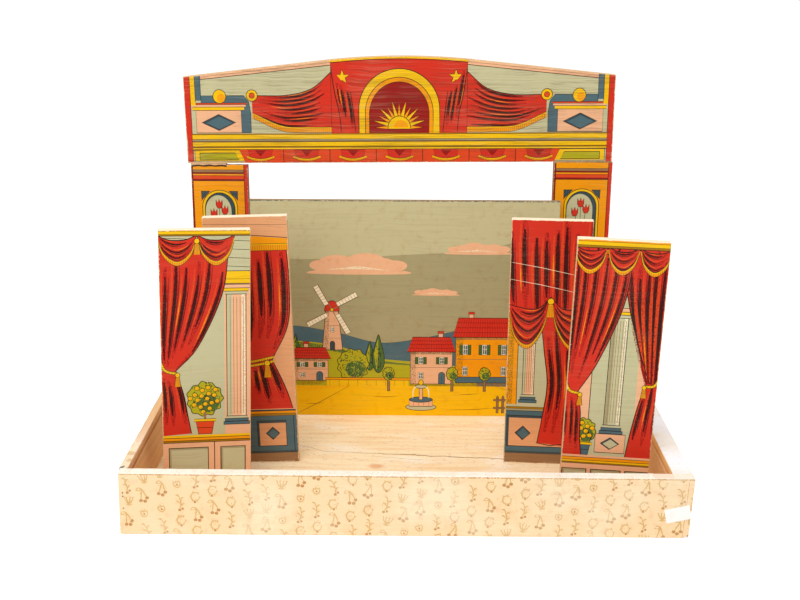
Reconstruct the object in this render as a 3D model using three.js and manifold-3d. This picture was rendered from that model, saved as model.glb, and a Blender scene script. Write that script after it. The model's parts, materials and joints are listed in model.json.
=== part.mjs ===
import * as THREE from 'three';
import { mergeVertices } from 'three/addons/utils/BufferGeometryUtils.js';
import Module from 'manifold-3d';

// A toy puppet theatre of printed paper on wood. A low open tray is the stage. Four boards, the wings, stand
// on round pegs in its floor, a thin backdrop stands in a slot behind them, and a proscenium arch of two
// pillars and a loose pediment stands at the back. The origin is the middle of the tray's underside, with
// +X to the audience's right, +Y to the back of the stage and +Z up. Lengths are millimetres, turns degrees.

const wasm = await Module();
wasm.setup();

// Clearances: between pieces glued, nailed or stood together, and round what turns or lifts out
const seam = 0.05;
const play = 0.25;
// How far a cut runs past the face that it opens
const overrun = 1;

// The tray, over its paper, and its wooden walls and floor
const tray = {
  width: 600,
  depth: 370,
  height: 68.7,
  floor: 8,
  front_wall: 12.2,
  back_wall: 11,
  left_wall: 8.75,
  right_wall: 20.75,
};

// The grooves along the side walls for a sliding lid, which comes in over the lower back wall
const lid_groove = { below_rim: 8, height: 5, depth: 4 };

// The patterned paper on the outside of the tray. It stops short of the underside, the left rim is bare
// behind left_rim, and the front rim has lost a piece as long as tear beside the right wall.
const cover = { thickness: 0.25, trim: 0.5, left_rim: 82, tear: 21 };

// The blank sticker on the front: its size, its tilt and its middle from the right end and the underside
const sticker = { width: 26.5, height: 16, thickness: 0.15, tilt: 13, from_right: 15.25, from_below: 27.75 };

// Brads: across the shank and head, and how far each bites into the second piece. brad_shares place them in
// the thickness of the wall they enter, and along and up the walls that they hold.
const brad = { shank: 1.2, head: 1.65, head_height: 0.6, point: 2, bite: 15 };
const brad_shares = {
  across_wall: 0.6,
  front_left: { low: 0.44, middle: 0.64, high: 0.7 },
  other_corners: { low: 0.2, middle: 0.45, high: 0.7 },
  along_floor: { left: -0.28, middle: 0, right: 0.28 },
  into_floor: { front: -0.25, back: 0.25 },
};

// Round dowel stock for pegs and joints, and the wood left under its holes in the floor
const dowel = { width: 6, bevel: 0.75, floor_skin: 2 };

// The paper prints glued to the fronts of the boards
const print_thickness = 0.25;

// The wings: boards sawn to nearly one size. Each has a peg at its own place from the walls, stands turned
// about it, and leans to one side because its foot is cut out of square.
const wing = { thickness: 10, peg_rise: 12 };
const wings = {
  wing_front_left: { width: 97, height: 297.5, from_left: 66.4, from_front: 90.3, turn: 11, lean: 1.8 },
  wing_back_left: { width: 94.3, height: 297.5, from_left: 117.7, from_front: 155.6, turn: 1.8, lean: -1.5 },
  wing_back_right: { width: 90.5, height: 295, from_right: 117, from_front: 156.8, turn: -4.3, lean: 0.1 },
  wing_front_right: { width: 95.2, height: 297.5, from_right: 62.3, from_front: 56.3, turn: -4.8, lean: 1.4 },
};

// The arch: its boards, the pediment's gaps to the walls, how far the pillars stand to the right of its ends,
// and how far its dowels reach into the boards
const arch = { thickness: 10, left_gap: 15.5, right_gap: 23, back_gap: 3.4, pillars_aside: 1.4 };
const dowel_reach = { head: 12, foot: 20 };

// The pillars. The print is torn off the head of the left one, and its wood is broken off there for a width
// beside the stage.
const pillar_width = 73.5;
const pillars = {
  left_pillar: { height: 323.7, torn: 2.4, broken: 27 },
  right_pillar: { height: 328.1, torn: 0, broken: 0 },
};

// The pediment's outline, with straight slopes from the sides to shoulders and a shallow curve between them
const pediment = { side: 107, shoulder: 127, crown: 131, shoulder_span: 168 };

// The backdrop: its panel, the slot that it stands in, and its place ahead of the arch and off the middle
const backdrop = { width: 384, height: 290, thickness: 5, slot_depth: 4, ahead_of_arch: 32.2, aside: -2.5 };

const round_sides = 16;
const brad_sides = 10;
const crown_steps = 16;

// Planes of the tray: its papered outside, the wood under the paper, and the inside of the walls
const skin = seam + cover.thickness;
const outside = {
  left: -tray.width / 2,
  right: tray.width / 2,
  front: -tray.depth / 2,
  back: tray.depth / 2,
  top: tray.height,
};
const wood = {
  left: outside.left + skin,
  right: outside.right - skin,
  front: outside.front + skin,
  back: outside.back - skin,
  top: outside.top - skin,
};
const inside = {
  left: wood.left + tray.left_wall,
  right: wood.right - tray.right_wall,
  front: wood.front + tray.front_wall,
  back: wood.back - tray.back_wall,
};
const groove_top = wood.top - lid_groove.below_rim;
const back_wall_top = groove_top - lid_groove.height;
const between_sides = [inside.left + seam, inside.right - seam];

const looks = {
  pale_pine: { color: 0xf2d7ac, roughness: 0.75, metalness: 0 },
  brown_wood: { color: 0xc08a5c, roughness: 0.7, metalness: 0 },
  board_wood: { color: 0xe6c096, roughness: 0.75, metalness: 0 },
  beech: { color: 0xd9b184, roughness: 0.6, metalness: 0 },
  steel: { color: 0x5c4a3c, roughness: 0.55, metalness: 0.8 },
  cream_paper: { color: 0xf7deb4, roughness: 0.85, metalness: 0 },
  white_paper: { color: 0xf7f4ee, roughness: 0.6, metalness: 0 },
  red_print: { color: 0xc2352a, roughness: 0.6, metalness: 0 },
  yellow_print: { color: 0xeeb52a, roughness: 0.6, metalness: 0 },
  sky_print: { color: 0xb4b59c, roughness: 0.6, metalness: 0 },
};

function radians(degrees) {
  return THREE.MathUtils.degToRad(degrees);
}

// Makes a placed shape into a piece with a name and a material of its own
function piece(name, look, shape) {
  shape.name = name;
  shape.material = new THREE.MeshStandardMaterial(looks[look]);
  return shape;
}

// A rectangular shape between three pairs of planes
function block([left, right], [front, back], [bottom, top]) {
  const shape = new THREE.Mesh(new THREE.BoxGeometry(right - left, back - front, top - bottom));
  shape.position.set((left + right) / 2, (front + back) / 2, (bottom + top) / 2);
  return shape;
}

// A sheet or board with an outline drawn as the audience sees it, from the plane y = front back
function panel(outline, front, thickness) {
  const settings = { depth: thickness, bevelEnabled: false, curveSegments: crown_steps };
  const shape = new THREE.Mesh(new THREE.ExtrudeGeometry(outline, settings));
  shape.rotation.x = Math.PI / 2;
  shape.position.y = front + thickness;
  return shape;
}

// A turned shape, its profile given as radius and height from one end of its axis to the other
function turned(profile, sides) {
  const points = profile.map(([radius, height]) => new THREE.Vector2(radius, height));
  return new THREE.Mesh(joined_corners(new THREE.LatheGeometry(points, sides)));
}

// The same surface with shared corners and without the triangles that collapse on an axis
function joined_corners(geometry) {
  const bare = geometry.clone();
  bare.deleteAttribute('normal');
  bare.deleteAttribute('uv');
  const merged = mergeVertices(bare);
  const corners = Array.from(merged.index.array);
  const kept = [];
  for (let first = 0; first < corners.length; first += 3) {
    const triangle = corners.slice(first, first + 3);
    if (new Set(triangle).size === 3) {
      kept.push(...triangle);
    }
  }
  merged.setIndex(kept);
  return merged;
}

function solid_of(geometry, frame) {
  const closed = joined_corners(geometry).applyMatrix4(frame);
  return new wasm.Manifold(new wasm.Mesh({
    numProp: 3,
    vertProperties: closed.attributes.position.array,
    triVerts: Uint32Array.from(closed.index.array),
  }));
}

function geometry_of(solid) {
  const { vertProperties, triVerts } = solid.getMesh();
  const geometry = new THREE.BufferGeometry();
  geometry.setAttribute('position', new THREE.BufferAttribute(vertProperties, 3));
  geometry.setIndex(new THREE.BufferAttribute(triVerts, 1));
  return geometry;
}

// Adds to a shape, or subtracts from it, others placed in the same frame
function combine(shape, how, others) {
  shape.updateMatrix();
  const into_shape = shape.matrix.clone().invert();
  let solid = solid_of(shape.geometry, new THREE.Matrix4());
  for (const other of others) {
    other.updateMatrix();
    solid = solid[how](solid_of(other.geometry, into_shape.clone().multiply(other.matrix)));
  }
  shape.geometry = geometry_of(solid);
  return shape;
}

function rectangle(width, height) {
  const outline = new THREE.Shape();
  outline.moveTo(-width / 2, 0);
  outline.lineTo(width / 2, 0);
  outline.lineTo(width / 2, height);
  outline.lineTo(-width / 2, height);
  return outline;
}

// An upright dowel between two heights, its ends bevelled
function upright_dowel(name, [x, y], bottom, top) {
  const radius = dowel.width / 2;
  const shape = turned([
    [0, 0],
    [radius - dowel.bevel, 0],
    [radius, dowel.bevel],
    [radius, top - bottom - dowel.bevel],
    [radius - dowel.bevel, top - bottom],
    [0, top - bottom],
  ], round_sides);
  shape.rotation.x = Math.PI / 2;
  shape.position.set(x, y, bottom);
  return piece(name, 'beech', shape);
}

// The hole for such a dowel, with a running clearance all round
function dowel_hole([x, y], bottom, top) {
  const radius = dowel.width / 2 + play;
  const shape = turned([[0, 0], [radius, 0], [radius, top - bottom], [0, top - bottom]], round_sides);
  shape.rotation.x = Math.PI / 2;
  shape.position.set(x, y, bottom);
  return shape;
}

const dowel_floor = dowel.floor_skin + seam;

// The hole in the floor for an upright dowel
function floor_hole(place) {
  return dowel_hole(place, dowel.floor_skin, tray.floor + overrun);
}

// The profile of a brad along the way that it is driven, or of its hole, grown by a clearance
function brad_profile(length, growth, start) {
  const head = brad.head / 2 + growth;
  const shank = brad.shank / 2 + growth;
  return [
    [0, start],
    [head, start],
    [head, brad.head_height + growth],
    [shank, brad.head_height + growth],
    [shank, length - brad.point],
    [0, length + growth],
  ];
}

function driven(profile, place, heading) {
  const shape = turned(profile, brad_sides);
  shape.rotation.z = heading;
  shape.position.set(...place);
  return shape;
}

const headings = { back: 0, right: -Math.PI / 2, front: Math.PI, left: Math.PI / 2 };

// A brad driven through a wall from the place of its head, and the hole that it sits in
function brad_and_hole(name, place, heading, wall) {
  const length = wall + brad.bite;
  return {
    nail: piece(name, 'steel', driven(brad_profile(length, 0, 0), place, heading)),
    hole: driven(brad_profile(length, play, -overrun), place, heading),
  };
}

// Three brads through the front wall into the end of each side wall. At the left they hold the paper too, and
// their heads show.
function front_corner_brads() {
  const across = { left: tray.left_wall, right: tray.right_wall };
  const x = {
    left: wood.left + across.left * brad_shares.across_wall,
    right: wood.right - across.right * brad_shares.across_wall,
  };
  const face = { left: outside.front, right: wood.front };
  const heights = { left: brad_shares.front_left, right: brad_shares.other_corners };
  return ['left', 'right'].flatMap((side) => Object.entries(heights[side]).map(([level, share]) => {
    const place = [x[side], face[side], wood.top * share];
    const wall = inside.front - face[side];
    return brad_and_hole(`brad_front_${side}_${level}`, place, headings.back, wall);
  }));
}

// Three brads through each side wall into the end of the back wall
function back_corner_brads() {
  const y = wood.back - tray.back_wall / 2;
  return Object.entries(brad_shares.other_corners).flatMap(([level, share]) => {
    const z = back_wall_top * share;
    return [
      brad_and_hole(`brad_back_left_${level}`, [wood.left, y, z], headings.right, tray.left_wall),
      brad_and_hole(`brad_back_right_${level}`, [wood.right, y, z], headings.left, tray.right_wall),
    ];
  });
}

// Brads through all four walls into the edges of the floor
function floor_brads() {
  const z = tray.floor / 2;
  const along = Object.entries(brad_shares.along_floor).flatMap(([place, share]) => {
    const x = tray.width * share;
    return [
      brad_and_hole(`floor_brad_front_${place}`, [x, wood.front, z], headings.back, tray.front_wall),
      brad_and_hole(`floor_brad_back_${place}`, [x, wood.back, z], headings.front, tray.back_wall),
    ];
  });
  const across = Object.entries(brad_shares.into_floor).flatMap(([place, share]) => {
    const y = tray.depth * share;
    return [
      brad_and_hole(`floor_brad_left_${place}`, [wood.left, y, z], headings.right, tray.left_wall),
      brad_and_hole(`floor_brad_right_${place}`, [wood.right, y, z], headings.left, tray.right_wall),
    ];
  });
  return [...along, ...across];
}

function tray_walls() {
  const upright = [0, wood.top];
  const side_run = [inside.front + seam, wood.back];
  const groove_run = [inside.front, wood.back + overrun];
  const groove_heights = [back_wall_top, groove_top];
  const left_groove = [inside.left - lid_groove.depth, inside.left + overrun];
  const right_groove = [inside.right - overrun, inside.right + lid_groove.depth];
  return {
    front_wall: block([wood.left, wood.right], [wood.front, inside.front], upright),
    back_wall: block(between_sides, [inside.back, wood.back], [0, back_wall_top]),
    left_wall: combine(block([wood.left, inside.left], side_run, upright), 'subtract', [
      block(left_groove, groove_run, groove_heights),
    ]),
    right_wall: combine(block([inside.right, wood.right], side_run, upright), 'subtract', [
      block(right_groove, groove_run, groove_heights),
    ]),
  };
}

// The planes of the paper that lies on the front wall, on the side walls and on their rims
const front_sheet = [outside.front, outside.front + cover.thickness];
const left_sheet = [outside.left, outside.left + cover.thickness];
const right_sheet = [outside.right - cover.thickness, outside.right];
const rim_sheet = [outside.top - cover.thickness, outside.top];

// The front paper is folded back over the rim, torn beside the right wall and pierced by the brads that show
function front_cover(shown_holes) {
  const full_width = [outside.left, outside.right];
  const rim = block(full_width, [outside.front, inside.front], rim_sheet);
  const tear = [inside.right - cover.tear, inside.right];
  const torn = block(tear, [wood.front, inside.front + overrun], [wood.top, outside.top + overrun]);
  const whole = combine(block(full_width, front_sheet, [cover.trim, outside.top]), 'add', [rim]);
  return piece('front_cover', 'cream_paper', combine(whole, 'subtract', [torn, ...shown_holes]));
}

// A side paper runs up beside the front paper's edge, and over a length of the rim
function side_cover(name, sheet, across_rim, rim_end) {
  const behind_front_rim = inside.front + seam;
  const top = block(sheet, [behind_front_rim, outside.back], [cover.trim, outside.top]);
  const rim = block(across_rim, [behind_front_rim, rim_end], rim_sheet);
  const side = block(sheet, [front_sheet[1] + seam, outside.back], [cover.trim, wood.top]);
  return piece(name, 'cream_paper', combine(side, 'add', [top, rim]));
}

function back_cover() {
  const across = [left_sheet[1] + seam, right_sheet[0] - seam];
  return piece('back_cover', 'cream_paper',
    block(across, [wood.back + seam, outside.back], [cover.trim, back_wall_top]));
}

function price_sticker() {
  const label = new THREE.Mesh(new THREE.BoxGeometry(sticker.width, sticker.thickness, sticker.height));
  const y = outside.front - seam - sticker.thickness / 2;
  label.rotation.y = radians(-sticker.tilt);
  label.position.set(outside.right - sticker.from_right, y, sticker.from_below);
  return piece('price_sticker', 'white_paper', label);
}

function peg_place(place) {
  const x = 'from_left' in place ? inside.left + place.from_left : inside.right - place.from_right;
  return [x, inside.front + place.from_front];
}

// A wing's outline with its foot level and its sides leaning
function leaning_outline({ width, height, lean }) {
  const tilt = radians(lean);
  const across = [Math.cos(tilt) * width / 2, -Math.sin(tilt) * width / 2];
  const up = [Math.sin(tilt) * height, Math.cos(tilt) * height];
  const foot = width / 2 / Math.cos(tilt);
  const outline = new THREE.Shape();
  outline.moveTo(-foot, 0);
  outline.lineTo(foot, 0);
  outline.lineTo(up[0] + across[0], up[1] + across[1]);
  outline.lineTo(up[0] - across[0], up[1] - across[1]);
  return outline;
}

// A wing in a frame whose origin is on its peg's axis, level with its foot
function standing_wing(name, place) {
  const outline = leaning_outline(place);
  const front = -wing.thickness / 2;
  const hole = dowel_hole([0, 0], -overrun, wing.peg_rise + seam);
  const foot = tray.floor + play;
  const group = new THREE.Group();
  group.add(
    piece(name, 'board_wood', combine(panel(outline, front, wing.thickness), 'subtract', [hole])),
    piece(`${name}_print`, 'red_print', panel(outline, front - seam - print_thickness, print_thickness)),
    upright_dowel(`${name}_peg`, [0, 0], dowel_floor - foot, wing.peg_rise),
  );
  group.position.set(...peg_place(place), foot);
  group.rotation.z = radians(place.turn);
  return group;
}

// The arch's planes: its sides, its front and back, and the foot of its pillars
const arch_left = inside.left + arch.left_gap;
const arch_right = inside.right - arch.right_gap;
const arch_back = inside.back - arch.back_gap;
const arch_board_front = arch_back - arch.thickness;
const arch_front = arch_board_front - seam - print_thickness;
const pillar_foot = tray.floor + seam;
const pillar_places = {
  left_pillar: [arch_left + arch.pillars_aside + pillar_width / 2, arch_board_front + arch.thickness / 2],
  right_pillar: [arch_right + arch.pillars_aside - pillar_width / 2, arch_board_front + arch.thickness / 2],
};

function standing_pillar(name, place) {
  const { height, torn, broken } = pillars[name];
  const front = -arch.thickness / 2;
  const side = pillar_width / 2;
  const cuts = [
    dowel_hole([0, 0], -overrun, dowel_reach.foot + seam),
    dowel_hole([0, 0], height - dowel_reach.foot - seam, height + overrun),
  ];
  if (broken > 0) {
    const through = [front - overrun, arch.thickness / 2 + overrun];
    cuts.push(block([side - broken, side + overrun], through, [height - torn, height + overrun]));
  }
  const board = combine(panel(rectangle(pillar_width, height), front, arch.thickness), 'subtract', cuts);
  const sheet = panel(rectangle(pillar_width, height - torn), front - seam - print_thickness, print_thickness);
  const head = [height - dowel_reach.foot, height + dowel_reach.head];
  const group = new THREE.Group();
  group.add(
    piece(name, 'board_wood', board),
    piece(`${name}_print`, 'yellow_print', sheet),
    upright_dowel(`${name}_foot_dowel`, [0, 0], dowel_floor - pillar_foot, dowel_reach.foot),
    upright_dowel(`${name}_head_dowel`, [0, 0], ...head),
  );
  group.position.set(...place, pillar_foot);
  return group;
}

// The pediment rests on the outer corner of the left pillar and on the inner corner of the right one, so it
// slopes as far as their heights differ
const rest_span = arch_right - pillar_width - arch_left;
const pediment_slope = Math.atan2(pillars.right_pillar.height - pillars.left_pillar.height, rest_span);

// The outline in a frame at the pediment's left foot, sloping with it
function pediment_outline() {
  const half = (arch_right - arch_left) / 2;
  const shoulder = pediment.shoulder_span / 2;
  const sagitta = pediment.crown - pediment.shoulder;
  const radius = (shoulder * shoulder + sagitta * sagitta) / (2 * sagitta);
  const reach = Math.asin(shoulder / radius);
  const level = new THREE.Shape();
  level.moveTo(0, 0);
  level.lineTo(2 * half, 0);
  level.lineTo(2 * half, pediment.side);
  level.lineTo(half + shoulder, pediment.shoulder);
  level.absarc(half, pediment.crown - radius, radius, Math.PI / 2 - reach, Math.PI / 2 + reach);
  level.lineTo(0, pediment.side);
  const foot = new THREE.Vector2();
  return new THREE.Shape(level.getPoints(crown_steps).map((point) => point.rotateAround(foot, pediment_slope)));
}

function resting_pediment() {
  const outline = pediment_outline();
  const front = -arch.thickness / 2;
  const rest = pillars.left_pillar.height;
  const holes = Object.entries(pillar_places).map(([name, [x]]) => (
    dowel_hole([x - arch_left, 0], -overrun, pillars[name].height - rest + dowel_reach.head + seam)
  ));
  const group = new THREE.Group();
  group.add(
    piece('pediment', 'board_wood', combine(panel(outline, front, arch.thickness), 'subtract', holes)),
    piece('pediment_print', 'yellow_print', panel(outline, front - seam - print_thickness, print_thickness)),
  );
  const drop = Math.tan(pediment_slope) * arch.pillars_aside;
  group.position.set(arch_left, arch_board_front + arch.thickness / 2, pillar_foot + rest + seam - drop);
  return group;
}

// The backdrop's planes: it stands in a slot whose floor is slot_depth down
const backdrop_back = arch_front - backdrop.ahead_of_arch;
const backdrop_panel_front = backdrop_back - backdrop.thickness;
const backdrop_front = backdrop_panel_front - seam - print_thickness;
const slot_floor = tray.floor - backdrop.slot_depth;

function backdrop_slot() {
  const reach = backdrop.width / 2 + play;
  const across = [backdrop.aside - reach, backdrop.aside + reach];
  return block(across, [backdrop_front - play, backdrop_back + play], [slot_floor, tray.floor + overrun]);
}

function standing_backdrop() {
  const outline = rectangle(backdrop.width, backdrop.height);
  const group = new THREE.Group();
  group.add(
    piece('backdrop', 'board_wood', panel(outline, 0, backdrop.thickness)),
    piece('backdrop_print', 'sky_print', panel(outline, -seam - print_thickness, print_thickness)),
  );
  group.position.set(backdrop.aside, backdrop_panel_front, slot_floor + seam);
  return group;
}

function tray_floor() {
  const dowel_places = [...Object.values(wings).map(peg_place), ...Object.values(pillar_places)];
  const floor = block(between_sides, [inside.front + seam, inside.back - seam], [0, tray.floor]);
  return combine(floor, 'subtract', [...dowel_places.map(floor_hole), backdrop_slot()]);
}

function assembled_tray() {
  const front_brads = front_corner_brads();
  const brads = [...front_brads, ...back_corner_brads(), ...floor_brads()];
  const brad_holes = brads.map(({ hole }) => hole);
  const shown = front_brads.filter(({ nail }) => nail.position.y === outside.front);
  const group = new THREE.Group();
  group.add(
    piece('floor_board', 'pale_pine', combine(tray_floor(), 'subtract', brad_holes)),
    ...Object.entries(tray_walls()).map(([name, wall]) => (
      piece(name, 'brown_wood', combine(wall, 'subtract', brad_holes))
    )),
    front_cover(shown.map(({ hole }) => hole)),
    side_cover('left_cover', left_sheet, [outside.left, inside.left], outside.front + cover.left_rim),
    side_cover('right_cover', right_sheet, [inside.right, outside.right], outside.back),
    back_cover(),
    ...brads.map(({ nail }) => nail),
    price_sticker(),
  );
  return group;
}

const theatre = new THREE.Group();
theatre.add(
  assembled_tray(),
  standing_backdrop(),
  resting_pediment(),
  ...Object.entries(pillar_places).map(([name, place]) => standing_pillar(name, place)),
  ...Object.entries(wings).map(([name, place]) => standing_wing(name, place)),
);

export default theatre;
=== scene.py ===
"""A toy puppet theatre of printed boards in a papered wooden tray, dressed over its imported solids."""

import copy
import json
import math

import bmesh
import bpy
import numpy as np
from bpy.props import FloatProperty, FloatVectorProperty, PointerProperty
from mathutils import Matrix, Vector
from mathutils.geometry import delaunay_2d_cdt

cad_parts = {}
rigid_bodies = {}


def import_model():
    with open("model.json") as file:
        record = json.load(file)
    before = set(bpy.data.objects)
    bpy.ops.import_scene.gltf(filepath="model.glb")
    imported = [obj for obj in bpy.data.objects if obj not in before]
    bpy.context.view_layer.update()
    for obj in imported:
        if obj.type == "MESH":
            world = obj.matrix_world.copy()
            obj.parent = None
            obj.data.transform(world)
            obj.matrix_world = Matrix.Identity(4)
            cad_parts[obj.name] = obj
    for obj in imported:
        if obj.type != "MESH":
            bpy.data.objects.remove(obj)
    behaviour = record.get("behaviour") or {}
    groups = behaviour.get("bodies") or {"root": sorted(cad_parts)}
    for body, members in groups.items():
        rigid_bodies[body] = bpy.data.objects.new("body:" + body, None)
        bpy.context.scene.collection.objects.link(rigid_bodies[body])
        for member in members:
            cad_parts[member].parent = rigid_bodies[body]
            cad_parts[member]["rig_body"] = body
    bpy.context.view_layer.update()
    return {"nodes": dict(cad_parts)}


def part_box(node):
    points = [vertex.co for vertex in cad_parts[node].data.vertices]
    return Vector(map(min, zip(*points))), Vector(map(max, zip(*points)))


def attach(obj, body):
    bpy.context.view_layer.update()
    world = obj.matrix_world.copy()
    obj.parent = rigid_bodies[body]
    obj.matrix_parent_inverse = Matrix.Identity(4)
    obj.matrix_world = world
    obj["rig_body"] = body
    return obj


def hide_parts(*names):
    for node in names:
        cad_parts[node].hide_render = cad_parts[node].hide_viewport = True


bl_info = {
    "name": "Toy puppet theatre",
    "version": (1, 0, 0),
    "blender": (4, 5, 0),
    "location": "3D View > Sidebar > Theatre",
    "description": "Dresses the theatre's boards, prints, papers and tray, and sets its stage",
    "category": "Object",
}

MM = 0.001

for leftover in list(bpy.data.objects):
    bpy.data.objects.remove(leftover)
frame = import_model()


# ---- Colours and sizes that can be changed ----


def shade(code):
    """The linear colour behind a screen colour written as six hexadecimal digits."""
    parts = [part / 255 for part in bytes.fromhex(code)]
    return tuple(part / 12.92 if part <= 0.04045 else ((part + 0.055) / 1.055) ** 2.4 for part in parts)


def colour(name, description, code):
    """A setting for a colour, with the screen colour it starts as."""
    return FloatVectorProperty(
        name=name, description=description, default=shade(code), subtype="COLOR", size=3, min=0, max=1
    )


def length(name, description, default):
    """A setting for a length."""
    return FloatProperty(name=name, description=description, default=default, unit="LENGTH", min=0)


def factor(name, description, default):
    """A setting between 0 and 1."""
    return FloatProperty(name=name, description=description, default=default, subtype="FACTOR", min=0, max=1)


class TheatreInks(bpy.types.PropertyGroup):
    """The printer's inks"""

    line: colour("Line", "Dark outlines", "2e1b14")
    red: colour("Red", "Curtains and edges", "d1311f")
    deep_red: colour("Deep red", "Shade in the curtains", "961613")
    maroon: colour("Maroon", "Depth of the folds", "3b0b0c")
    vermilion: colour("Vermilion", "Light on the curtains and the valance", "de4820")
    yellow: colour("Yellow", "Cornices and frames", "f1bf10")
    ochre: colour("Ochre", "Pillars and ledges", "f29b0c")
    bronze: colour("Bronze", "Shade on the yellow parts", "a07414")
    peach: colour("Peach", "Plaster and clouds", "ecb48a")
    clay: colour("Clay", "Wall behind the back curtains", "e3a473")
    brown: colour("Brown", "Foot strips and tree trunks", "97714c")
    slate: colour("Slate", "Blue grey stone", "4e6a72")
    steel: colour("Dark slate", "Shade on the blue grey stone", "3b4b50")
    sage: colour("Sage", "Grey green walls and panels", "c3be95")
    sky: colour("Sky", "Upper sky", "c4bb8f")
    haze: colour("Haze", "Lower sky", "a79d74")
    leaf: colour("Leaf", "Light foliage", "b3ab1f")
    forest: colour("Forest", "Dark foliage", "4d6b33")
    ground: colour("Ground", "Yellow ground", "f4bd06")
    cream: colour("Cream", "Light touches", "f7e9c6")


class TheatrePapers(bpy.types.PropertyGroup):
    """The papers of the prints, of the tray and of the sticker"""

    backing: colour("Backing", "Bare paper where a print is scuffed", "efdcb8")
    cream: colour("Tray paper", "Ground of the patterned paper", "f8d8ac")
    worn: colour("Worn paper", "Rubbed folds and rims of the patterned paper", "fff8ec")
    # Rubbed paper, whitened further as painted light for the strong light on the right rim.
    rim_wear_and_light: colour("Bleached paper", "The patterned paper on the right rim, nearly white", "fffdff")
    pale: colour("Pale paper", "Bleached patches of the patterned paper", "fff0d2")
    sprig: colour("Sprigs", "Fine lines of the pattern", "dbb274")
    berry: colour("Berries", "Dark spots of the pattern", "c49058")
    sticker: colour("Sticker", "The blank sticker", "fbfaf6")
    thickness: length("Thickness", "Of each sheet", 0.25 * MM)
    bend: length("Bend", "Outer radius of a fold over the rim", 0.6 * MM)
    left_corner: length("Left corner", "How far the front's lower left corner is worn round", 2.0 * MM)
    right_corner: length("Right corner", "How far the front's lower right corner is worn round", 6.5 * MM)


class TheatreWoods(bpy.types.PropertyGroup):
    """The woods and the metal"""

    pine: colour("Pine", "Pale wood of the floor", "ffe8bf")
    pine_grain: colour("Pine grain", "Late wood of the floor", "e8bb80")
    wall: colour("Walls", "Brown wood of the tray's walls", "f0c38e")
    wall_grain: colour("Wall grain", "Dark grain of the walls", "c9915c")
    board: colour("Boards", "Sawn sides of the loose boards", "e6c092")
    board_grain: colour("Board grain", "Grain of the loose boards", "c1935f")
    end_grain: colour("Board ends", "Pale tops of the wings", "fbeccf")
    # Browner wood for the pillars, darkened also as painted shade for their sides and the gaps at their tops.
    pillar: colour("Pillars", "Browner sides of the pillars", "b07a50")
    pillar_grain: colour("Pillar grain", "Grain of the pillars", "845234")
    ply: colour("Backdrop", "Darker wood of the backdrop's panel", "a8906a")
    ply_grain: colour("Backdrop grain", "Grain of the backdrop's panel", "7d6746")
    beech: colour("Beech", "Dowels and pegs", "d9b184")
    iron: colour("Iron", "Brads", "40260f")
    edge: length("Edge wear", "How far the boards' edges are rubbed round", 0.6 * MM)
    left_lean: length("Left end", "How far the top of the front's left end leans in", 2.0 * MM)
    right_lean: length("Right end", "How far the foot of the front's right end leans in", 2.6 * MM)
    rim_rise: length("Rim rise", "How much higher than level the rim is at the left end", 1.4 * MM)
    rim_drop: length("Rim drop", "How much lower than level the rim is at the right end", 0.5 * MM)


class TheatreStage(bpy.types.PropertyGroup):
    """The floor under the theatre, its light and the camera"""

    floor: colour("Floor", "The plain pale floor", "f4f3f0")
    glow: factor("Floor white", "Added for the camera only", 0.52)
    sky_light: FloatProperty(name="Soft light", description="Strength of the even light", default=0.57, min=0)
    key_power: FloatProperty(name="Key lamp", description="The left lamp", default=28.5, unit="POWER", min=0)
    top_power: FloatProperty(name="Top lamp", description="The high lamp", default=27.0, unit="POWER", min=0)
    lens: FloatProperty(name="Lens", description="Focal length in millimetres", default=51.75, min=1)
    pitch: FloatProperty(
        name="Pitch", description="How far the camera looks down", default=math.radians(17.04), unit="ROTATION"
    )
    yaw: FloatProperty(name="Yaw", description="Turn to the left", default=math.radians(0.327), unit="ROTATION")
    roll: FloatProperty(name="Roll", description="Tilt", default=math.radians(0.262), unit="ROTATION")
    viewpoint: FloatVectorProperty(
        name="Viewpoint", description="Place of the camera", default=(-0.00023, -1.269, 0.592), subtype="XYZ",
        unit="LENGTH",
    )


def inks():
    """The inks as they are set."""
    return bpy.context.scene.theatre_inks


def papers():
    """The papers as they are set."""
    return bpy.context.scene.theatre_papers


def woods():
    """The woods as they are set."""
    return bpy.context.scene.theatre_woods


# ---- Materials ----


class Term:
    """A number or vector in a material's maths, as a node's output with Python's operators."""

    def __init__(self, recipe, socket):
        self.recipe = recipe
        self.socket = socket

    def maths(self, operation, *others, clamp=False):
        """An operation with this term as its first value."""
        return self.recipe.maths(operation, self, *others, clamp=clamp)

    def __add__(self, other):
        return self.maths("ADD", other)

    __radd__ = __add__

    def __sub__(self, other):
        return self.maths("SUBTRACT", other)

    def __rsub__(self, other):
        return self.recipe.maths("SUBTRACT", other, self)

    def __mul__(self, other):
        return self.maths("MULTIPLY", other)

    def __abs__(self):
        return self.maths("ABSOLUTE")

    def sine(self):
        """The sine of an angle in radians."""
        return self.maths("SINE")

    def higher_of(self, other):
        """The higher of two terms."""
        return self.maths("MAXIMUM", other)

    def within(self):
        """The same number kept between 0 and 1."""
        return self.maths("ADD", 0.0, clamp=True)

    def rise(self, low, high):
        """A soft step from 0 at low to 1 at high, or down from 1 where high is the lower."""
        if low > high:
            return 1 - self.rise(high, low)
        return self.recipe.term(
            "ShaderNodeMapRange",
            {"interpolation_type": "SMOOTHSTEP"},
            {"Value": self, "From Min": low, "From Max": high},
        )


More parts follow.
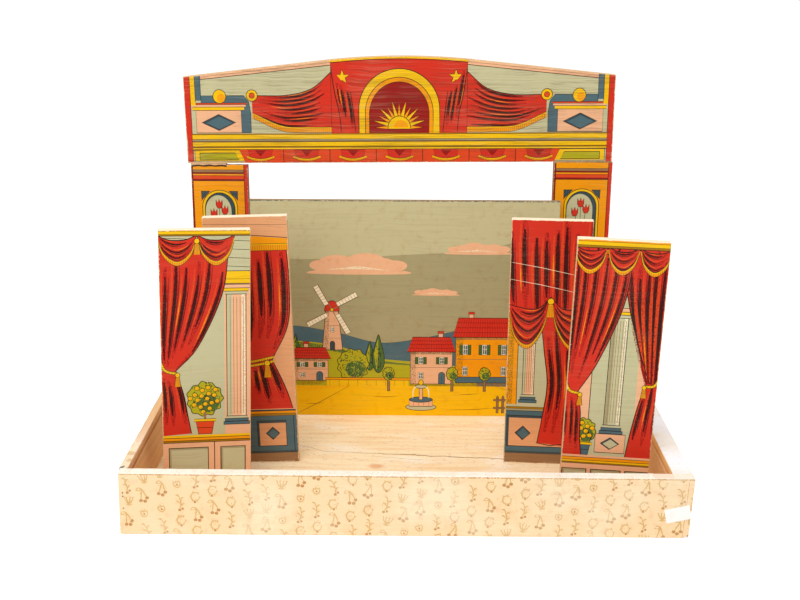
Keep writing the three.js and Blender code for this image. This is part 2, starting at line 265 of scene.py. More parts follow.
class Recipe:
    """The nodes of one material. Numbers in it are millimetres."""

    def __init__(self, name):
        self.material = bpy.data.materials.new(name)
        self.material.use_nodes = True
        self.tree = self.material.node_tree
        self.tree.nodes.clear()

    def node(self, kind, settings=None, inputs=None):
        """Adds a node of a kind, sets it, and gives its sockets their values or links."""
        node = self.tree.nodes.new(kind)
        for name, value in (settings or {}).items():
            setattr(node, name, value)
        for name, value in (inputs or {}).items():
            if isinstance(value, Term):
                self.tree.links.new(value.socket, node.inputs[name])
            else:
                node.inputs[name].default_value = value
        return node

    def term(self, kind, settings=None, inputs=None, output=0):
        """One output of a new node."""
        return Term(self, self.node(kind, settings, inputs).outputs[output])

    def maths(self, operation, *values, clamp=False):
        """An operation on numbers and terms."""
        settings = {"operation": operation, "use_clamp": clamp}
        return self.term("ShaderNodeMath", settings, dict(enumerate(values)))

    def place(self):
        """The three coordinates of a point of the piece."""
        point = self.term("ShaderNodeTexCoord", output=3)
        parts = self.node("ShaderNodeSeparateXYZ", None, {0: point})
        return [Term(self, parts.outputs[axis]) * 1000 for axis in range(3)]

    def noise(self, x, y, z, detail=2.0, roughness=0.5):
        """Cloudy noise at a place, about a millimetre fine."""
        place = self.term("ShaderNodeCombineXYZ", None, {0: x, 1: y, 2: z})
        inputs = {"Vector": place, "Scale": 1.0, "Detail": detail, "Roughness": roughness}
        return self.term("ShaderNodeTexNoise", None, inputs)

    def even_noise(self, fineness, detail=3.0, roughness=0.5):
        """The same noise in all directions, finer by a factor."""
        return self.noise(*(axis * fineness for axis in self.place()), detail, roughness)

    def attribute(self, name, output):
        """What the mesh says at a point, as a colour (0) or as a number (2)."""
        return self.term("ShaderNodeAttribute", {"attribute_name": name}, None, output)

    def mix(self, share, first, second, blend="MIX"):
        """The first colour with a share of the second."""
        inputs = {0: share, 6: self.opaque(first), 7: self.opaque(second)}
        return self.term("ShaderNodeMix", {"data_type": "RGBA", "blend_type": blend}, inputs, 2)

    @staticmethod
    def opaque(value):
        """A colour with its alpha."""
        return value if isinstance(value, Term) else (*value, 1.0)

    def surface(self, base, roughness, height=None, depth=0.1, **constants):
        """Ends the recipe with a shader, whose bumps are depth millimetres high."""
        inputs = {"Base Color": base, "Roughness": roughness, "Specular IOR Level": 0.22, **constants}
        if height is not None:
            inputs["Normal"] = self.term("ShaderNodeBump", None, {"Height": height, "Distance": depth * MM})
        shader = self.term("ShaderNodeBsdfPrincipled", None, inputs)
        self.node("ShaderNodeOutputMaterial", None, {0: shader})
        return self.material


def printed_paper(name, wrinkles, scuffs, stains, rubbed, fading=0.02, faded_to=None):
    """Paper with the inks of its drawing, crayon grain in the shades, wrinkles with painted shade in their
    creases and a painted highlight beside them, stains and rubbed edges.
    """
    recipe = Recipe(name)
    x, y, z = recipe.place()
    ink, under = recipe.attribute("ink", 0), recipe.attribute("under", 0)
    cover, border = recipe.attribute("cover", 2), recipe.attribute("border", 2)
    grain = recipe.noise(x * 1.1, y * 1.1, z * 0.8, 3.0, 0.7)
    broad = recipe.even_noise(0.016)
    middling = recipe.even_noise(0.09, 4.0, 0.6)
    crayon = (cover * 0.42 + 0.29 - grain).rise(-0.035, 0.035)
    inked = recipe.mix(crayon, under, ink)
    pale = (broad.rise(0.4, 0.7) * fading + (grain - 0.58) * 0.08).within()
    faded = recipe.mix(pale, inked, faded_to or rubbed)
    toned = recipe.mix((middling.rise(0.5, 0.75) * stains).within(), faded, shade("dba25c"), "MULTIPLY")
    # Each crease is drawn with painted shade as a dark line and a painted highlight just beside it; where the
    # crease is strongest the ink also wears off.
    crease = recipe.noise(x * 0.006, y * 0.006, z * 0.3 + broad * 4.0)
    fine_crease = (1 - abs(crease - 0.5) * 9.0).within()
    crease_shade_and_wear = fine_crease * fine_crease * broad.rise(0.36, 0.56) * wrinkles
    speck = recipe.even_noise(0.5, 4.0, 0.65)
    rub = (speck * 1.5 + middling * 0.5 - border * 1.2).rise(0.95, 1.12) * scuffs
    bare = rub.higher_of(crease_shade_and_wear.rise(0.85, 1.1) * middling.rise(0.55, 0.7) * 0.4)
    bare = bare.higher_of(speck.rise(0.74, 0.77) * 0.5)
    painted_crease_highlight = (1 - abs(crease - 0.57) * 14.0).within() * broad.rise(0.4, 0.6) * wrinkles * 0.08
    # The painted crease shade and the painted crease highlight are mixed into the paper's colour here.
    lined = recipe.mix(painted_crease_highlight, recipe.mix(crease_shade_and_wear * 0.38, toned, shade("4a2f1c")), rubbed)
    base = recipe.mix(bare, lined, rubbed)
    roughness = 0.46 + grain * 0.14 + bare * 0.22
    height = grain * 0.12 + fine_crease * wrinkles * 0.7 + broad * 3.0 - bare * 0.35
    return recipe.surface(base, roughness, height, 0.16, **{"Specular IOR Level": 0.1})


def wood(name, along, light, dark, spacing, contrast):
    """Sawn wood: along is the axis of the grain, spacing the width of its rings.

    Returns what it needs for surface: the recipe, the colour, the roughness and the height.
    """
    recipe = Recipe(name)
    axes = recipe.place()
    grain = axes.pop("xyz".index(along))
    across, through = axes
    drift = recipe.noise(grain * 0.0045, across * 0.016, through * 0.016)
    ripple = recipe.noise(grain * 0.02, across * 0.11, through * 0.11, 3.0)
    rings = ((across + through * 0.7 + drift * 46.0 + ripple * 3.0) * (2 * math.pi / spacing)).sine()
    late = rings.rise(0.1, 1.0)
    fibre = recipe.noise(grain * 0.05, across * 1.9, through * 1.9, 4.0, 0.65)
    flecks = recipe.noise(grain * 0.16, across * 1.3, through * 1.3).rise(0.66, 0.74)
    broad = recipe.noise(grain * 0.008, across * 0.03, through * 0.03, 3.0)
    amount = late * 0.42 + fibre.rise(0.35, 0.75) * 0.34 + flecks * 0.55 + broad.rise(0.4, 0.7) * 0.25
    base = recipe.mix((amount * contrast).within(), light, dark)
    height = fibre * 0.5 - flecks * 0.8 + late * 0.3
    return recipe, base, 0.6 + fibre * 0.16, height


def wall_wood(name, along, walls):
    """The tray's brown wood, pale where the front rim is torn bare, with painted light on the right wall's
    inner face that is strongest on the band over its groove.
    """
    recipe, base, roughness, height = wood(name, along, woods().wall, woods().wall_grain, 9.0, 0.5)
    x, y, z = recipe.place()
    rim = walls.front + walls.front_rim
    # Painted light: the right wall's inner face is lightened, and the band above its groove more so, as if lit
    # from the left.
    right_wall = y.rise(rim - 0.1, rim) * x.rise(walls.inner_right - 1.2, walls.inner_right - 0.2)
    base = recipe.mix(right_wall * 0.5, base, shade("fbc98a"))
    base = recipe.mix(right_wall * z.rise(walls.groove - 0.6, walls.groove) * 0.9, base, shade("ffce84"))
    torn = z.rise(walls.top - 1.6, walls.top - 0.9) * (1 - y.rise(rim, 0.0))
    base = recipe.mix(torn * 0.8, base, shade("ffe9d4"))
    return recipe.surface(base, roughness, height, 0.12)


def board_wood(name, along, light, dark, spacing=6.0, contrast=0.7, depth=0.1, top=None, end=None):
    """Sawn wood of a loose piece, in another colour from the height top up."""
    recipe, base, roughness, height = wood(name, along, light, dark, spacing, contrast)
    if top:
        _, _, z = recipe.place()
        base = recipe.mix(z.rise(top - 1.0, top) * 0.9, base, end)
    return recipe.surface(base, roughness, height, depth)


def pine_floor():
    """Pale pine with its knots, short dark fibres and one long split."""
    recipe, base, roughness, height = wood("floor_pine", "x", woods().pine, woods().pine_grain, 13.0, 0.45)
    x, y, _ = recipe.place()
    streaks = recipe.noise(x * 0.009, y * 0.09, 3.0, 4.0, 0.6).rise(0.5, 0.66)
    base = recipe.mix(streaks * 0.36, base, shade("efba7a"))
    worn = recipe.noise(x * 0.012, y * 0.03, 0.0, 3.0).rise(0.52, 0.66)
    base = recipe.mix(worn * 0.7, base, shade("fff0d8"))
    dashes = recipe.noise(x * 0.14, y * 0.6, 7.0, 3.0, 0.6).rise(0.6, 0.7)
    base = recipe.mix(dashes * 0.75, base, shade("b06c38"))
    wobble = recipe.noise(x * 0.05, y * 0.05, 0.0, 3.0)
    split_line = y - 0.8 + x * 0.087 - x.rise(-94.0, -130.0) * 13.5 + (wobble - 0.5) * 6.0
    split = abs(split_line).rise(1.2, 0.4) * x.rise(-134.0, -126.0) * x.rise(136.0, 120.0)
    split = split * (0.45 + x.rise(-60.0, 10.0) * 0.55)
    second = abs(split_line + 11.0 + x * 0.05).rise(0.7, 0.1) * x.rise(-60.0, -30.0) * x.rise(40.0, 10.0)
    knots = None
    for across, up, size in ((-34.5, -32.0, 9.5), (176.0, 64.0, 4.0), (-205.0, 96.0, 6.0), (72.0, -150.0, 4.5)):
        reach = recipe.maths("SQRT", (x - across) * (x - across) * 0.55 + (y - up) * (y - up) * 1.2)
        spot = (reach + wobble * 2.0).rise(size + 1.5, size * 0.4)
        knots = spot if knots is None else knots.higher_of(spot)
    base = recipe.mix(knots * 0.62, base, shade("e2935a"))
    base = recipe.mix((split + second * 0.6).within() * 0.85, base, shade("7a4420"))
    return recipe.surface(base, roughness, height - dashes * 0.4, 0.14)


def rusted_iron():
    """Dark iron with rust, for the brads."""
    recipe = Recipe("brad_iron")
    rust = recipe.even_noise(2.2, 4.0, 0.7)
    base = recipe.mix(rust.rise(0.45, 0.65), woods().iron, shade("6a3c20"))
    return recipe.surface(base, 0.6 + rust * 0.3, rust, 0.05, **{"Specular IOR Level": 0.02})


def sticker_paper():
    """White paper with a faint smudge."""
    recipe = Recipe("sticker_paper")
    fibre = recipe.even_noise(2.0, 4.0, 0.6)
    smudge = recipe.even_noise(0.16)
    base = recipe.mix(smudge.rise(0.5, 0.75) * 0.25, papers().sticker, shade("e4dfd4"))
    return recipe.surface(base, 0.42 + fibre * 0.12, fibre, 0.03)


# ---- Drawings ----


def arc(x, y, across, up=None, start=0.0, end=360.0, count=24):
    """Points round part of an ellipse, its end left out where it closes."""
    up = across if up is None else up
    closed = abs(end - start) >= 360
    turns = [math.radians(start + (end - start) * i / count) for i in range(count + (not closed))]
    return [(x + across * math.cos(t), y + up * math.sin(t)) for t in turns]


def smooth(points, closed=False, step=3.0):
    """Points on a smooth line through the given ones, about a step apart."""
    ring = np.array(points, float)
    if closed:
        ring = np.vstack([ring[-1:], ring, ring[:2]])
    else:
        ring = np.vstack([2 * ring[0] - ring[1], ring, 2 * ring[-1] - ring[-2]])
    out = []
    for before, start, end, after in zip(ring, ring[1:], ring[2:], ring[3:]):
        count = max(2, int(np.linalg.norm(end - start) / step))
        for t in np.arange(count) / count:
            bend, swing = 2 * before - 5 * start + 4 * end - after, 3 * start - before - 3 * end + after
            out.append(0.5 * (2 * start + (end - before) * t + bend * t**2 + swing * t**3))
    if not closed:
        out.append(ring[-2])
    return np.array(out)


def spread(line, count):
    """The line with a given number of points, evenly spaced along it."""
    line = np.array(line, float)
    run = np.r_[0, np.cumsum(np.linalg.norm(np.diff(line, axis=0), axis=1))]
    at = np.linspace(0, run[-1], count)
    return np.column_stack([np.interp(at, run, line[:, axis]) for axis in (0, 1)])


def ribbon(points, widths):
    """The outline of a stroke whose widths are spaced evenly along its line."""
    line = np.array(points, float)
    ahead = np.gradient(line, axis=0)
    ahead /= np.maximum(np.linalg.norm(ahead, axis=1, keepdims=True), 1e-9)
    aside = np.column_stack([-ahead[:, 1], ahead[:, 0]])
    at = np.linspace(0, 1, len(line))
    half = np.interp(at, np.linspace(0, 1, len(widths)), widths)[:, None] / 2
    return np.vstack([line + aside * half, (line - aside * half)[::-1]])


def drawn_in(loop, distance):
    """A closed loop moved to its inner side."""
    ring = np.array(loop, float)
    ahead = np.roll(ring, -1, axis=0) - ring
    ahead /= np.linalg.norm(ahead, axis=1, keepdims=True)
    inward = np.column_stack([-ahead[:, 1], ahead[:, 0]])
    both = inward + np.roll(inward, 1, axis=0)
    both /= np.maximum((both**2).sum(1, keepdims=True) / 2, 0.3)
    return ring + both * distance


def inside_of(loop, points):
    """Which of the points a loop goes round."""
    near = np.flatnonzero(np.all((points >= loop.min(0)) & (points <= loop.max(0)), axis=1))
    if not len(near):
        return near
    px, py = points[near, 0, None], points[near, 1, None]
    (ax, ay), (bx, by) = loop.T, np.roll(loop, -1, axis=0).T
    side = (bx - ax) * (py - ay) - (px - ax) * (by - ay)
    turns = ((ay <= py) & (by > py) & (side > 0)).sum(1) - ((ay > py) & (by <= py) & (side < 0)).sum(1)
    return near[turns != 0]


class Drawing:
    """Areas of ink on a sheet, in millimetres across from its middle and up from its foot, each over the last.

    An area whose cover is below 1 lets what is under it show through its crayon grain. Colours are names of
    inks, or colours themselves.
    """

    FADE = 4.0  # How far the wear of an edge reaches in.

    def __init__(self, outline, paper, raised=0.0):
        self.outline = np.array(outline, float)
        self.paper = paper
        self.shift, self.stretch = np.array((0.0, raised)), np.ones(2)
        self.areas = []
        self.wear_lines = [np.vstack([self.outline, self.outline[:1]])]
        self.guides = [drawn_in(self.outline, inside) for inside in (1.2, self.FADE)]

    def at(self, x=0, y=0, across=1, up=1):
        """The same sheet for a motif with its own middle and size; the widths of its lines stay as they are."""
        view = copy.copy(self)
        view.shift, view.stretch = self.placed((x, y)), self.stretch * (across, up)
        return view

    def placed(self, points):
        """The points in the sheet's own place and size."""
        return np.array(points, float) * self.stretch + self.shift

    def area(self, loop, ink, cover=1.0):
        """Everything inside a loop."""
        self.areas.append((self.placed(loop), ink, cover))

    def brush(self, points, widths, ink, cover=1.0):
        """A stroke whose widths are spaced evenly along its line."""
        self.areas.append((ribbon(self.placed(points), widths), ink, cover))

    def line(self, points, width=0.7, ink="line"):
        """A stroke of one width."""
        self.brush(points, [width, width], ink)

    def edged(self, loop, ink, width=0.7, edge="line"):
        """An area with an outline."""
        self.area(loop, ink)
        self.line(np.vstack([loop, loop[:2]]), width, edge)

    def shape(self, loop, ink, rule, cover):
        """An area, outlined where it has a rule."""
        if rule:
            self.edged(loop, ink, rule)
        else:
            self.area(loop, ink, cover)

    def box(self, left, bottom, right, top, ink, rule=None, cover=1.0):
        """An upright rectangle."""
        self.shape([(left, bottom), (right, bottom), (right, top), (left, top)], ink, rule, cover)

    def disc(self, x, y, across, up, count, ink, rule=None, cover=1.0):
        """An ellipse of a number of points."""
        self.shape(arc(x, y, across, up, count=count), ink, rule, cover)

    def split_up(self):
        """The points and triangles of the sheet, cut along every line, with each triangle's inks and cover."""
        points, cuts = [], []
        loops = [(self.outline, True)] + [(loop, True) for loop, _, _ in self.areas]
        for line, closed in loops + [(guide, len(guide) > 2) for guide in self.guides]:
            first, count = len(points), len(line)
            points += [Vector(point) for point in line]
            cuts += [(first + i, first + (i + 1) % count) for i in range(count if closed else count - 1)]
        placed, _, triangles, _, _, _ = delaunay_2d_cdt(points, cuts, [], 0, 1e-3, True)
        placed, triangles = np.array(placed), np.array(triangles)
        corners = placed[triangles]
        one, two = corners[:, 1] - corners[:, 0], corners[:, 2] - corners[:, 0]
        size = one[:, 0] * two[:, 1] - one[:, 1] * two[:, 0]
        triangles[size < 0] = triangles[size < 0][:, ::-1]
        centres = corners.mean(1)
        kept = np.zeros(len(triangles), bool)
        kept[inside_of(self.outline, centres)] = True
        kept &= abs(size) > 1e-9
        triangles, centres = triangles[kept], centres[kept]
        ink = np.tile(self.tint(self.paper), (len(triangles), 1))
        under, cover = ink.copy(), np.ones(len(triangles))
        for loop, name, share in self.areas:
            hit = inside_of(loop, centres)
            under[hit] = ink[hit] if share < 1 else self.tint(name)
            ink[hit] = self.tint(name)
            cover[hit] = share
        return placed, triangles, ink, under, cover

    @staticmethod
    def tint(ink):
        """The colour of an ink."""
        return np.array(getattr(inks(), ink) if isinstance(ink, str) else ink)

    def wear(self, points):
        """How far each point is from the sheet's edges and folds, as a share of the reach of their wear."""
        least = np.full(len(points), self.FADE)
        for line in self.wear_lines:
            for start, end in zip(line, line[1:]):
                run = end - start
                share = np.clip((points - start) @ run / max(run @ run, 1e-9), 0, 1)
                least = np.minimum(least, np.linalg.norm(points - start - share[:, None] * run, axis=1))
        return least / self.FADE

    def sheet(self, name):
        """A mesh of the drawing's face in millimetres, z towards the viewer, with its inks in attributes."""
        placed, triangles, ink, under, cover = self.split_up()
        used, renumbered = np.unique(triangles, return_inverse=True)
        placed = placed[used]
        mesh = bpy.data.meshes.new(name)
        flat = np.column_stack([placed, np.zeros(len(placed))])
        mesh.from_pydata(flat.tolist(), [], renumbered.reshape(-1, 3).tolist())
        for label, values in (("ink", ink), ("under", under)):
            corner = np.repeat(np.column_stack([values, np.ones(len(values))]), 3, axis=0)
            mesh.attributes.new(label, "FLOAT_COLOR", "CORNER").data.foreach_set("color", corner.ravel())
        mesh.attributes.new("cover", "FLOAT", "CORNER").data.foreach_set("value", np.repeat(cover, 3))
        mesh.attributes.new("border", "FLOAT", "POINT").data.foreach_set("value", self.wear(placed))
        return mesh


def worn_loop(loop, seed, depth=0.35):
    """A sheet's outline with its edges slightly ragged, never outside the first one."""
    chance, step = np.random.default_rng(seed), 5.0
    ring = [np.array(point, float) for point in loop]
    out = []
    for start, end in zip(ring, ring[1:] + ring[:1]):
        count = max(1, int(np.linalg.norm(end - start) / step))
        shares = [(i + (chance.uniform(-0.3, 0.3) if i else 0)) / count for i in range(count)]
        out += [start + (end - start) * share for share in shares]
    ring = drawn_in(out, 0.45)
    share = chance.uniform(0, 1, (len(ring), 1)) ** 3
    return ring + (drawn_in(ring, depth) - ring) * share


# ---- Pieces ----


def finish_piece(piece, body, material_slot, *nodes):
    """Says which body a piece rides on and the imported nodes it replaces."""
    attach(piece, body)
    if nodes:
        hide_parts(*nodes)
    return piece


def mesh_of(build, name):
    """Ends a bmesh as a mesh."""
    mesh = bpy.data.meshes.new(name)
    build.to_mesh(mesh)
    build.free()
    return mesh


def shown(mesh, name, material):
    """A new object with a mesh and a material."""
    mesh.materials.clear()
    mesh.materials.append(material)
    piece = bpy.data.objects.new(name, mesh)
    bpy.context.scene.collection.objects.link(piece)
    return piece


def axes_at(right, up, out, place):
    """The matrix of three axes at a place."""
    columns = (right, up, out, place)
    return Matrix([[column[row] for column in columns] for row in range(3)] + [[0, 0, 0, 1]])


def body_of(node):
    """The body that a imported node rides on."""
    return frame["nodes"][node]["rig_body"]


def give(node, material):
    """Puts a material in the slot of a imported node."""
    slots = frame["nodes"][node].data.materials
    slots.clear()
    slots.append(material)


class Front:
    """The front face of a packed sheet: its frame, and its outline in that frame in millimetres."""

    def __init__(self, node):
        self.node, self.board = node, node.removesuffix("_print")
        mesh = frame["nodes"][node].data
        faces = [face for face in mesh.polygons if face.normal.y < -0.5]
        self.facing = sum((face.normal * face.area for face in faces), Vector()).normalized()
        used = [mesh.vertices[i].co for face in faces for i in face.vertices]
        corners = [Vector(corner) for corner in dict.fromkeys(tuple(round(c, 6) for c in co) for co in used)]
        level = Vector((0, 0, 1)).cross(self.facing).normalized()
        middle = sum(corners, Vector()) / len(corners)
        ring = sorted(corners, key=lambda c: math.atan2(c.z - middle.z, (c - middle).dot(level)))
        foot = min(corner.z for corner in corners) + 0.5 * MM
        first = ring.index(min((c for c in corners if c.z < foot), key=lambda c: c.dot(level)))
        ring = ring[first:] + ring[:first]
        self.origin = (ring[0] + ring[1]) / 2
        self.up = (ring[-1] - ring[0]).normalized()
        self.right = self.up.cross(self.facing).normalized()
        self.outline = [(self.right.dot(c - self.origin) / MM, self.up.dot(c - self.origin) / MM) for c in ring]
        self.height = max(up for _, up in self.outline)

    def matrix(self):
        """From the sheet's millimetres to its place in the theatre."""
        return axes_at(self.right * MM, self.up * MM, self.facing * MM, self.origin)


def pasted_print(node, design, material, material_slot):
    """A closed thin sheet that carries a design on its front and stands for a packed print."""
    front = Front(node)
    build = bmesh.new()
    build.from_mesh(design(front).sheet(f"{node}_face"))
    rim = [edge for edge in build.edges if edge.is_boundary]
    grown = bmesh.ops.extrude_edge_only(build, edges=rim)["geom"]
    back = [item for item in grown if isinstance(item, bmesh.types.BMVert)]
    bmesh.ops.translate(build, verts=back, vec=(0, 0, -papers().thickness / MM))
    rim = [edge for edge in build.edges if edge.is_boundary]
    closing = bmesh.ops.contextual_create(build, geom=rim)["faces"]
    border = build.verts.layers.float["border"]
    for vertex in back:
        vertex[border] = 0.0
    plain_paper(build, [item for item in grown if isinstance(item, bmesh.types.BMFace)] + closing)
    bmesh.ops.transform(build, matrix=front.matrix(), verts=build.verts)
    bmesh.ops.recalc_face_normals(build, faces=build.faces)
    piece = shown(mesh_of(build, f"{node}_sheet"), f"{node}_sheet", material)
    finish_piece(piece, body_of(node), material_slot, node)


def plain_paper(build, faces):
    """Leaves the edges and the back of a sheet without ink."""
    backing = (*papers().backing, 1.0)
    layers = build.loops.layers
    for loop in (loop for face in faces for loop in face.loops):
        loop[layers.float_color["ink"]] = backing
        loop[layers.float_color["under"]] = backing
        loop[layers.float["cover"]] = 1.0


def rubbed_board(node, material, reach=None, corners=()):
    """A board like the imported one, with its long edges rubbed round and the corners of its foot worn away."""
    long_edge, sharp_turn = 9 * MM, math.radians(50)
    build = bmesh.new()
    build.from_mesh(frame["nodes"][node].data)
    bmesh.ops.remove_doubles(build, verts=build.verts, dist=1e-6)
    bmesh.ops.dissolve_limit(build, angle_limit=math.radians(0.5), verts=build.verts, edges=build.edges)
    low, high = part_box(node)
    for x, worn in zip((low.x, high.x), corners):
        foot = [
            edge for edge in build.edges
            if all((vertex.co - Vector((x, vertex.co.y, low.z))).length < MM for vertex in edge.verts)
        ]
        bmesh.ops.bevel(
            build, geom=foot, offset=worn, offset_type="OFFSET", segments=6, profile=0.5, affect="EDGES",
            material=-1,
        )
    sharp = [
        edge for edge in build.edges
        if edge.calc_length() > long_edge and len(edge.link_faces) == 2 and edge.calc_face_angle() > sharp_turn
    ]
    bmesh.ops.bevel(
        build, geom=sharp, offset=reach or woods().edge, offset_type="OFFSET", segments=3, profile=0.5,
        affect="EDGES", material=-1, clamp_overlap=True,
    )
    return shown(mesh_of(build, f"{node}_wood"), f"{node}_wood", material)


# ---- What the prints show ----


def courses(art, reach, top, bands, rule=0.7):
    """Straight mouldings as bands of a height and an ink, from the top down, with a dark rule under each."""
    for height, ink in bands:
        art.box(-reach, top - height, reach, top, ink)
        top -= height
        art.line([(-reach, top), (reach, top)], rule)
    return top


def inset(art, left, bottom, right, top):
    """A sunk panel with its shadow along the left and the top."""
    art.box(left, bottom, right, top, "haze", 1.3)
    art.box(left + 2.4, bottom + 0.5, right - 0.5, top - 2.4, "sage")


def lozenge(art, x, y, across, up, ink, shadow="steel"):
    """A diamond with a shadow along its upper left."""
    loop = np.array([(-across, 0), (0, -up), (across, 0), (0, up)])
    art.edged(loop + (x, y), shadow, 0.8)
    art.area(loop * 0.78 + (x + 0.5, y - 0.5), ink)


def cloth(art, left, right, folds, seed):
    """Hanging cloth between two edge lines, its folds running with them."""
    left, right = spread(smooth(left), 42), spread(smooth(right), 42)
    art.area(np.vstack([left, right[::-1]]), "red")
    chance = np.random.default_rng(seed)
    width = right - left
    pitch = np.linalg.norm(width, axis=1).mean() / folds

    def pleat(line, shares, ink, cover):
        art.brush(line, pitch * np.array(shares), ink, cover)

    for fold in range(folds):
        share = (fold + 0.5 + chance.uniform(-0.2, 0.2)) / folds
        start, stop = chance.integers(0, 9), chance.integers(30, 42)
        at = left + width * share
        beside = left + width * min(share + 0.3 / folds, 1)
        pleat(at[start:stop], [0.3, 0.66, 0.76, 0.66, 0.25], "deep_red", 0.5)
        inner = slice(start + chance.integers(0, 5), stop - chance.integers(0, 9))
        pleat(at[inner], [0.16, 0.38, 0.42, 0.36, 0.12], "maroon", 0.7)
        core = slice(inner.start + 4, inner.stop - 5)
        pleat(at[core] + width[core] * 0.06 / folds, [0.05, 0.16, 0.18, 0.06], "line", 0.66)
        art.brush(beside[start + 3: stop - 5], [0.3, 0.8, 0.8, 0.3], "line")
        lit = left + width * max(share - 0.36 / folds, 0)
        pleat(lit[start + 2: stop - 6], [0.08, 0.3, 0.26, 0.06], "vermilion", 0.62)
        if fold % 3 == seed % 3:
            gleam = chance.integers(8, 22)
            pleat(lit[gleam: gleam + 12], [0.02, 0.12, 0.02], "ochre", 0.7)
    for edge in (left, right):
        art.brush(edge, [0.9, 1.3, 0.9], "line")
    return right


def cord(art, points):
    """A twisted gold cord."""
    line, width = smooth(points, step=1.5), 2.4
    art.line(line, width + 1.3)
    art.line(line, width, "yellow")
    ahead = np.gradient(line, axis=0)
    ahead /= np.linalg.norm(ahead, axis=1, keepdims=True)
    across = np.column_stack([-ahead[:, 1], ahead[:, 0]])
    for at, slant in list(zip(line, across * width * 0.5 + ahead * 0.6))[1:-1:2]:
        art.line([at - slant, at + slant], 0.5, "bronze")


def tassel(art, x, top, size=1.0):
    """A gold knob with a skirt of threads."""
    hung = art.at(x, top, size, size)
    hung.disc(0, -2.5, 2.6, 2.8, 12, "yellow", 0.6)
    hung.edged([(-2, -5), (2, -5), (3.4, -16), (-3.4, -16)], "ochre", 0.6)
    for offset in (-1.5, -0.5, 0.5, 1.5):
        hung.line([(offset * 0.8, -6), (offset * 1.5, -15.5)], 0.45, "bronze")


def fringe(art, line, depth=5.0, pitch=2.4):
    """A gold fringe that hangs from a line."""
    line = spread(line, max(3, int(np.linalg.norm(np.diff(line, axis=0), axis=1).sum() / pitch)))
    art.area(np.vstack([line, (line - (0, depth))[::-1]]), "ochre")
    for at in line[1:-1]:
        art.line([at, at - (0, depth)], 0.5, "bronze")
    art.line(line, 1.1, "yellow")
    art.line(line + (0, 0.7), 0.5)
    art.line(line - (0, depth), 0.5)


def swag(art, left, right, sag, thickness, seed, folds=3):
    """Cloth that hangs in a curve between two points, with a gold fringe."""
    (lx, ly), (rx, ry) = left, right
    mx, my, aside, drop = (lx + rx) / 2, (ly + ry) / 2, (rx - lx) * 0.16, (sag + thickness) * 0.66
    high, middle = my - sag * 0.24, (mx, my - sag * 0.3)
    upper = [left, ((lx + mx) / 2, high), middle, ((rx + mx) / 2, high), right]
    lower = [left, (lx + aside, ly - drop), (mx, my - sag - thickness), (rx - aside, ry - drop), right]
    fringe(art, cloth(art, upper, lower, folds, seed)[2:-2], 4.0)


def column(art, x, bottom, top, width, shaft="peach", dark="sage"):
    """A round column with flutes, a plain turned base and a capital."""
    art, half = art.at(x), width / 2
    art.box(-half, bottom, half, top, shaft, 0.8)
    art.box(-half + 0.5, bottom, -half * 0.45, top, dark)
    art.box(half * 0.55, bottom, half - 0.5, top, "cream", cover=0.55)
    for share in (-0.62, -0.28, 0.06, 0.4, 0.72):
        art.line([(half * share, bottom + 3), (half * share, top - 3)], 0.55, "brown")
    for rise, height, ink, drop, foot, reach in (
        (0, 3.4, "sage", 3.0, "sage", 1.2),
        (3.4, 3.4, "yellow", 6.0, "slate", 2.6),
        (6.8, 4.2, "peach", 9.6, "slate", 4.2),
    ):
        art.box(-half - reach, top + rise, half + reach, top + rise + height, ink, 0.7)
        art.box(-half - reach, bottom - drop, half + reach, bottom - drop + 3.4, foot, 0.7)


def shrub(art, x, y, across, up, seed, fruit=True):
    """A clipped bush: lobes of leaves, dark hollows and small fruit."""
    art, chance = art.at(x, y), np.random.default_rng(seed)
    bumpy = []
    for index, (px, py) in enumerate(arc(0, 0, across, up, count=22)):
        swell = 1.0 + 0.06 * (-1) ** index + chance.uniform(-0.04, 0.04)
        bumpy.append((px * swell, py * swell))
    art.edged(smooth(bumpy, True, 2.0), "leaf", 0.9)
    art.area(smooth(arc(across * 0.18, -up * 0.28, across * 0.66, up * 0.55, count=9), True), "forest", 0.8)
    for _ in range(int(across * up * 0.3)):
        turn, reach = chance.uniform(0, 2 * math.pi), math.sqrt(chance.uniform(0, 0.85))
        foot = np.array((across * math.cos(turn), up * math.sin(turn))) * reach
        lean = chance.uniform(-0.8, 0.8)
        tip = foot + (2.6 * math.sin(lean), 2.6 * math.cos(lean))
        ink = ("forest", "line", "leaf")[chance.integers(0, 3)]
        art.brush([foot, (foot + tip) / 2, tip], [0.2, 1.3, 0.1], ink)
    crop = across * up * 0.04
    for index in range(int(crop) + 3 if fruit else 0):
        turn, reach = index * 2.4, 0.86 * math.sqrt((index + 0.5) / (crop + 3.5))
        px, py = across * reach * math.cos(turn), up * reach * math.sin(turn)
        art.disc(px, py, 2.7, 2.5, 10, "yellow", 0.6)
        art.disc(px + 0.5, py - 0.6, 1.3, 1.2, 8, "ochre")


def tub(art, x, bottom, width, height, ink="slate"):
    """A planter that widens upwards to its gold rim."""
    art, half = art.at(x, bottom), width / 2
    art.edged([(-half * 0.7, 0), (half * 0.7, 0), (half, height), (-half, height)], ink)
    art.box(-half - 1.5, height - 3, half + 1.5, height, "yellow", 0.6)
    art.line([(-half * 0.8, height * 0.42), (half * 0.8, height * 0.42)], 0.6)


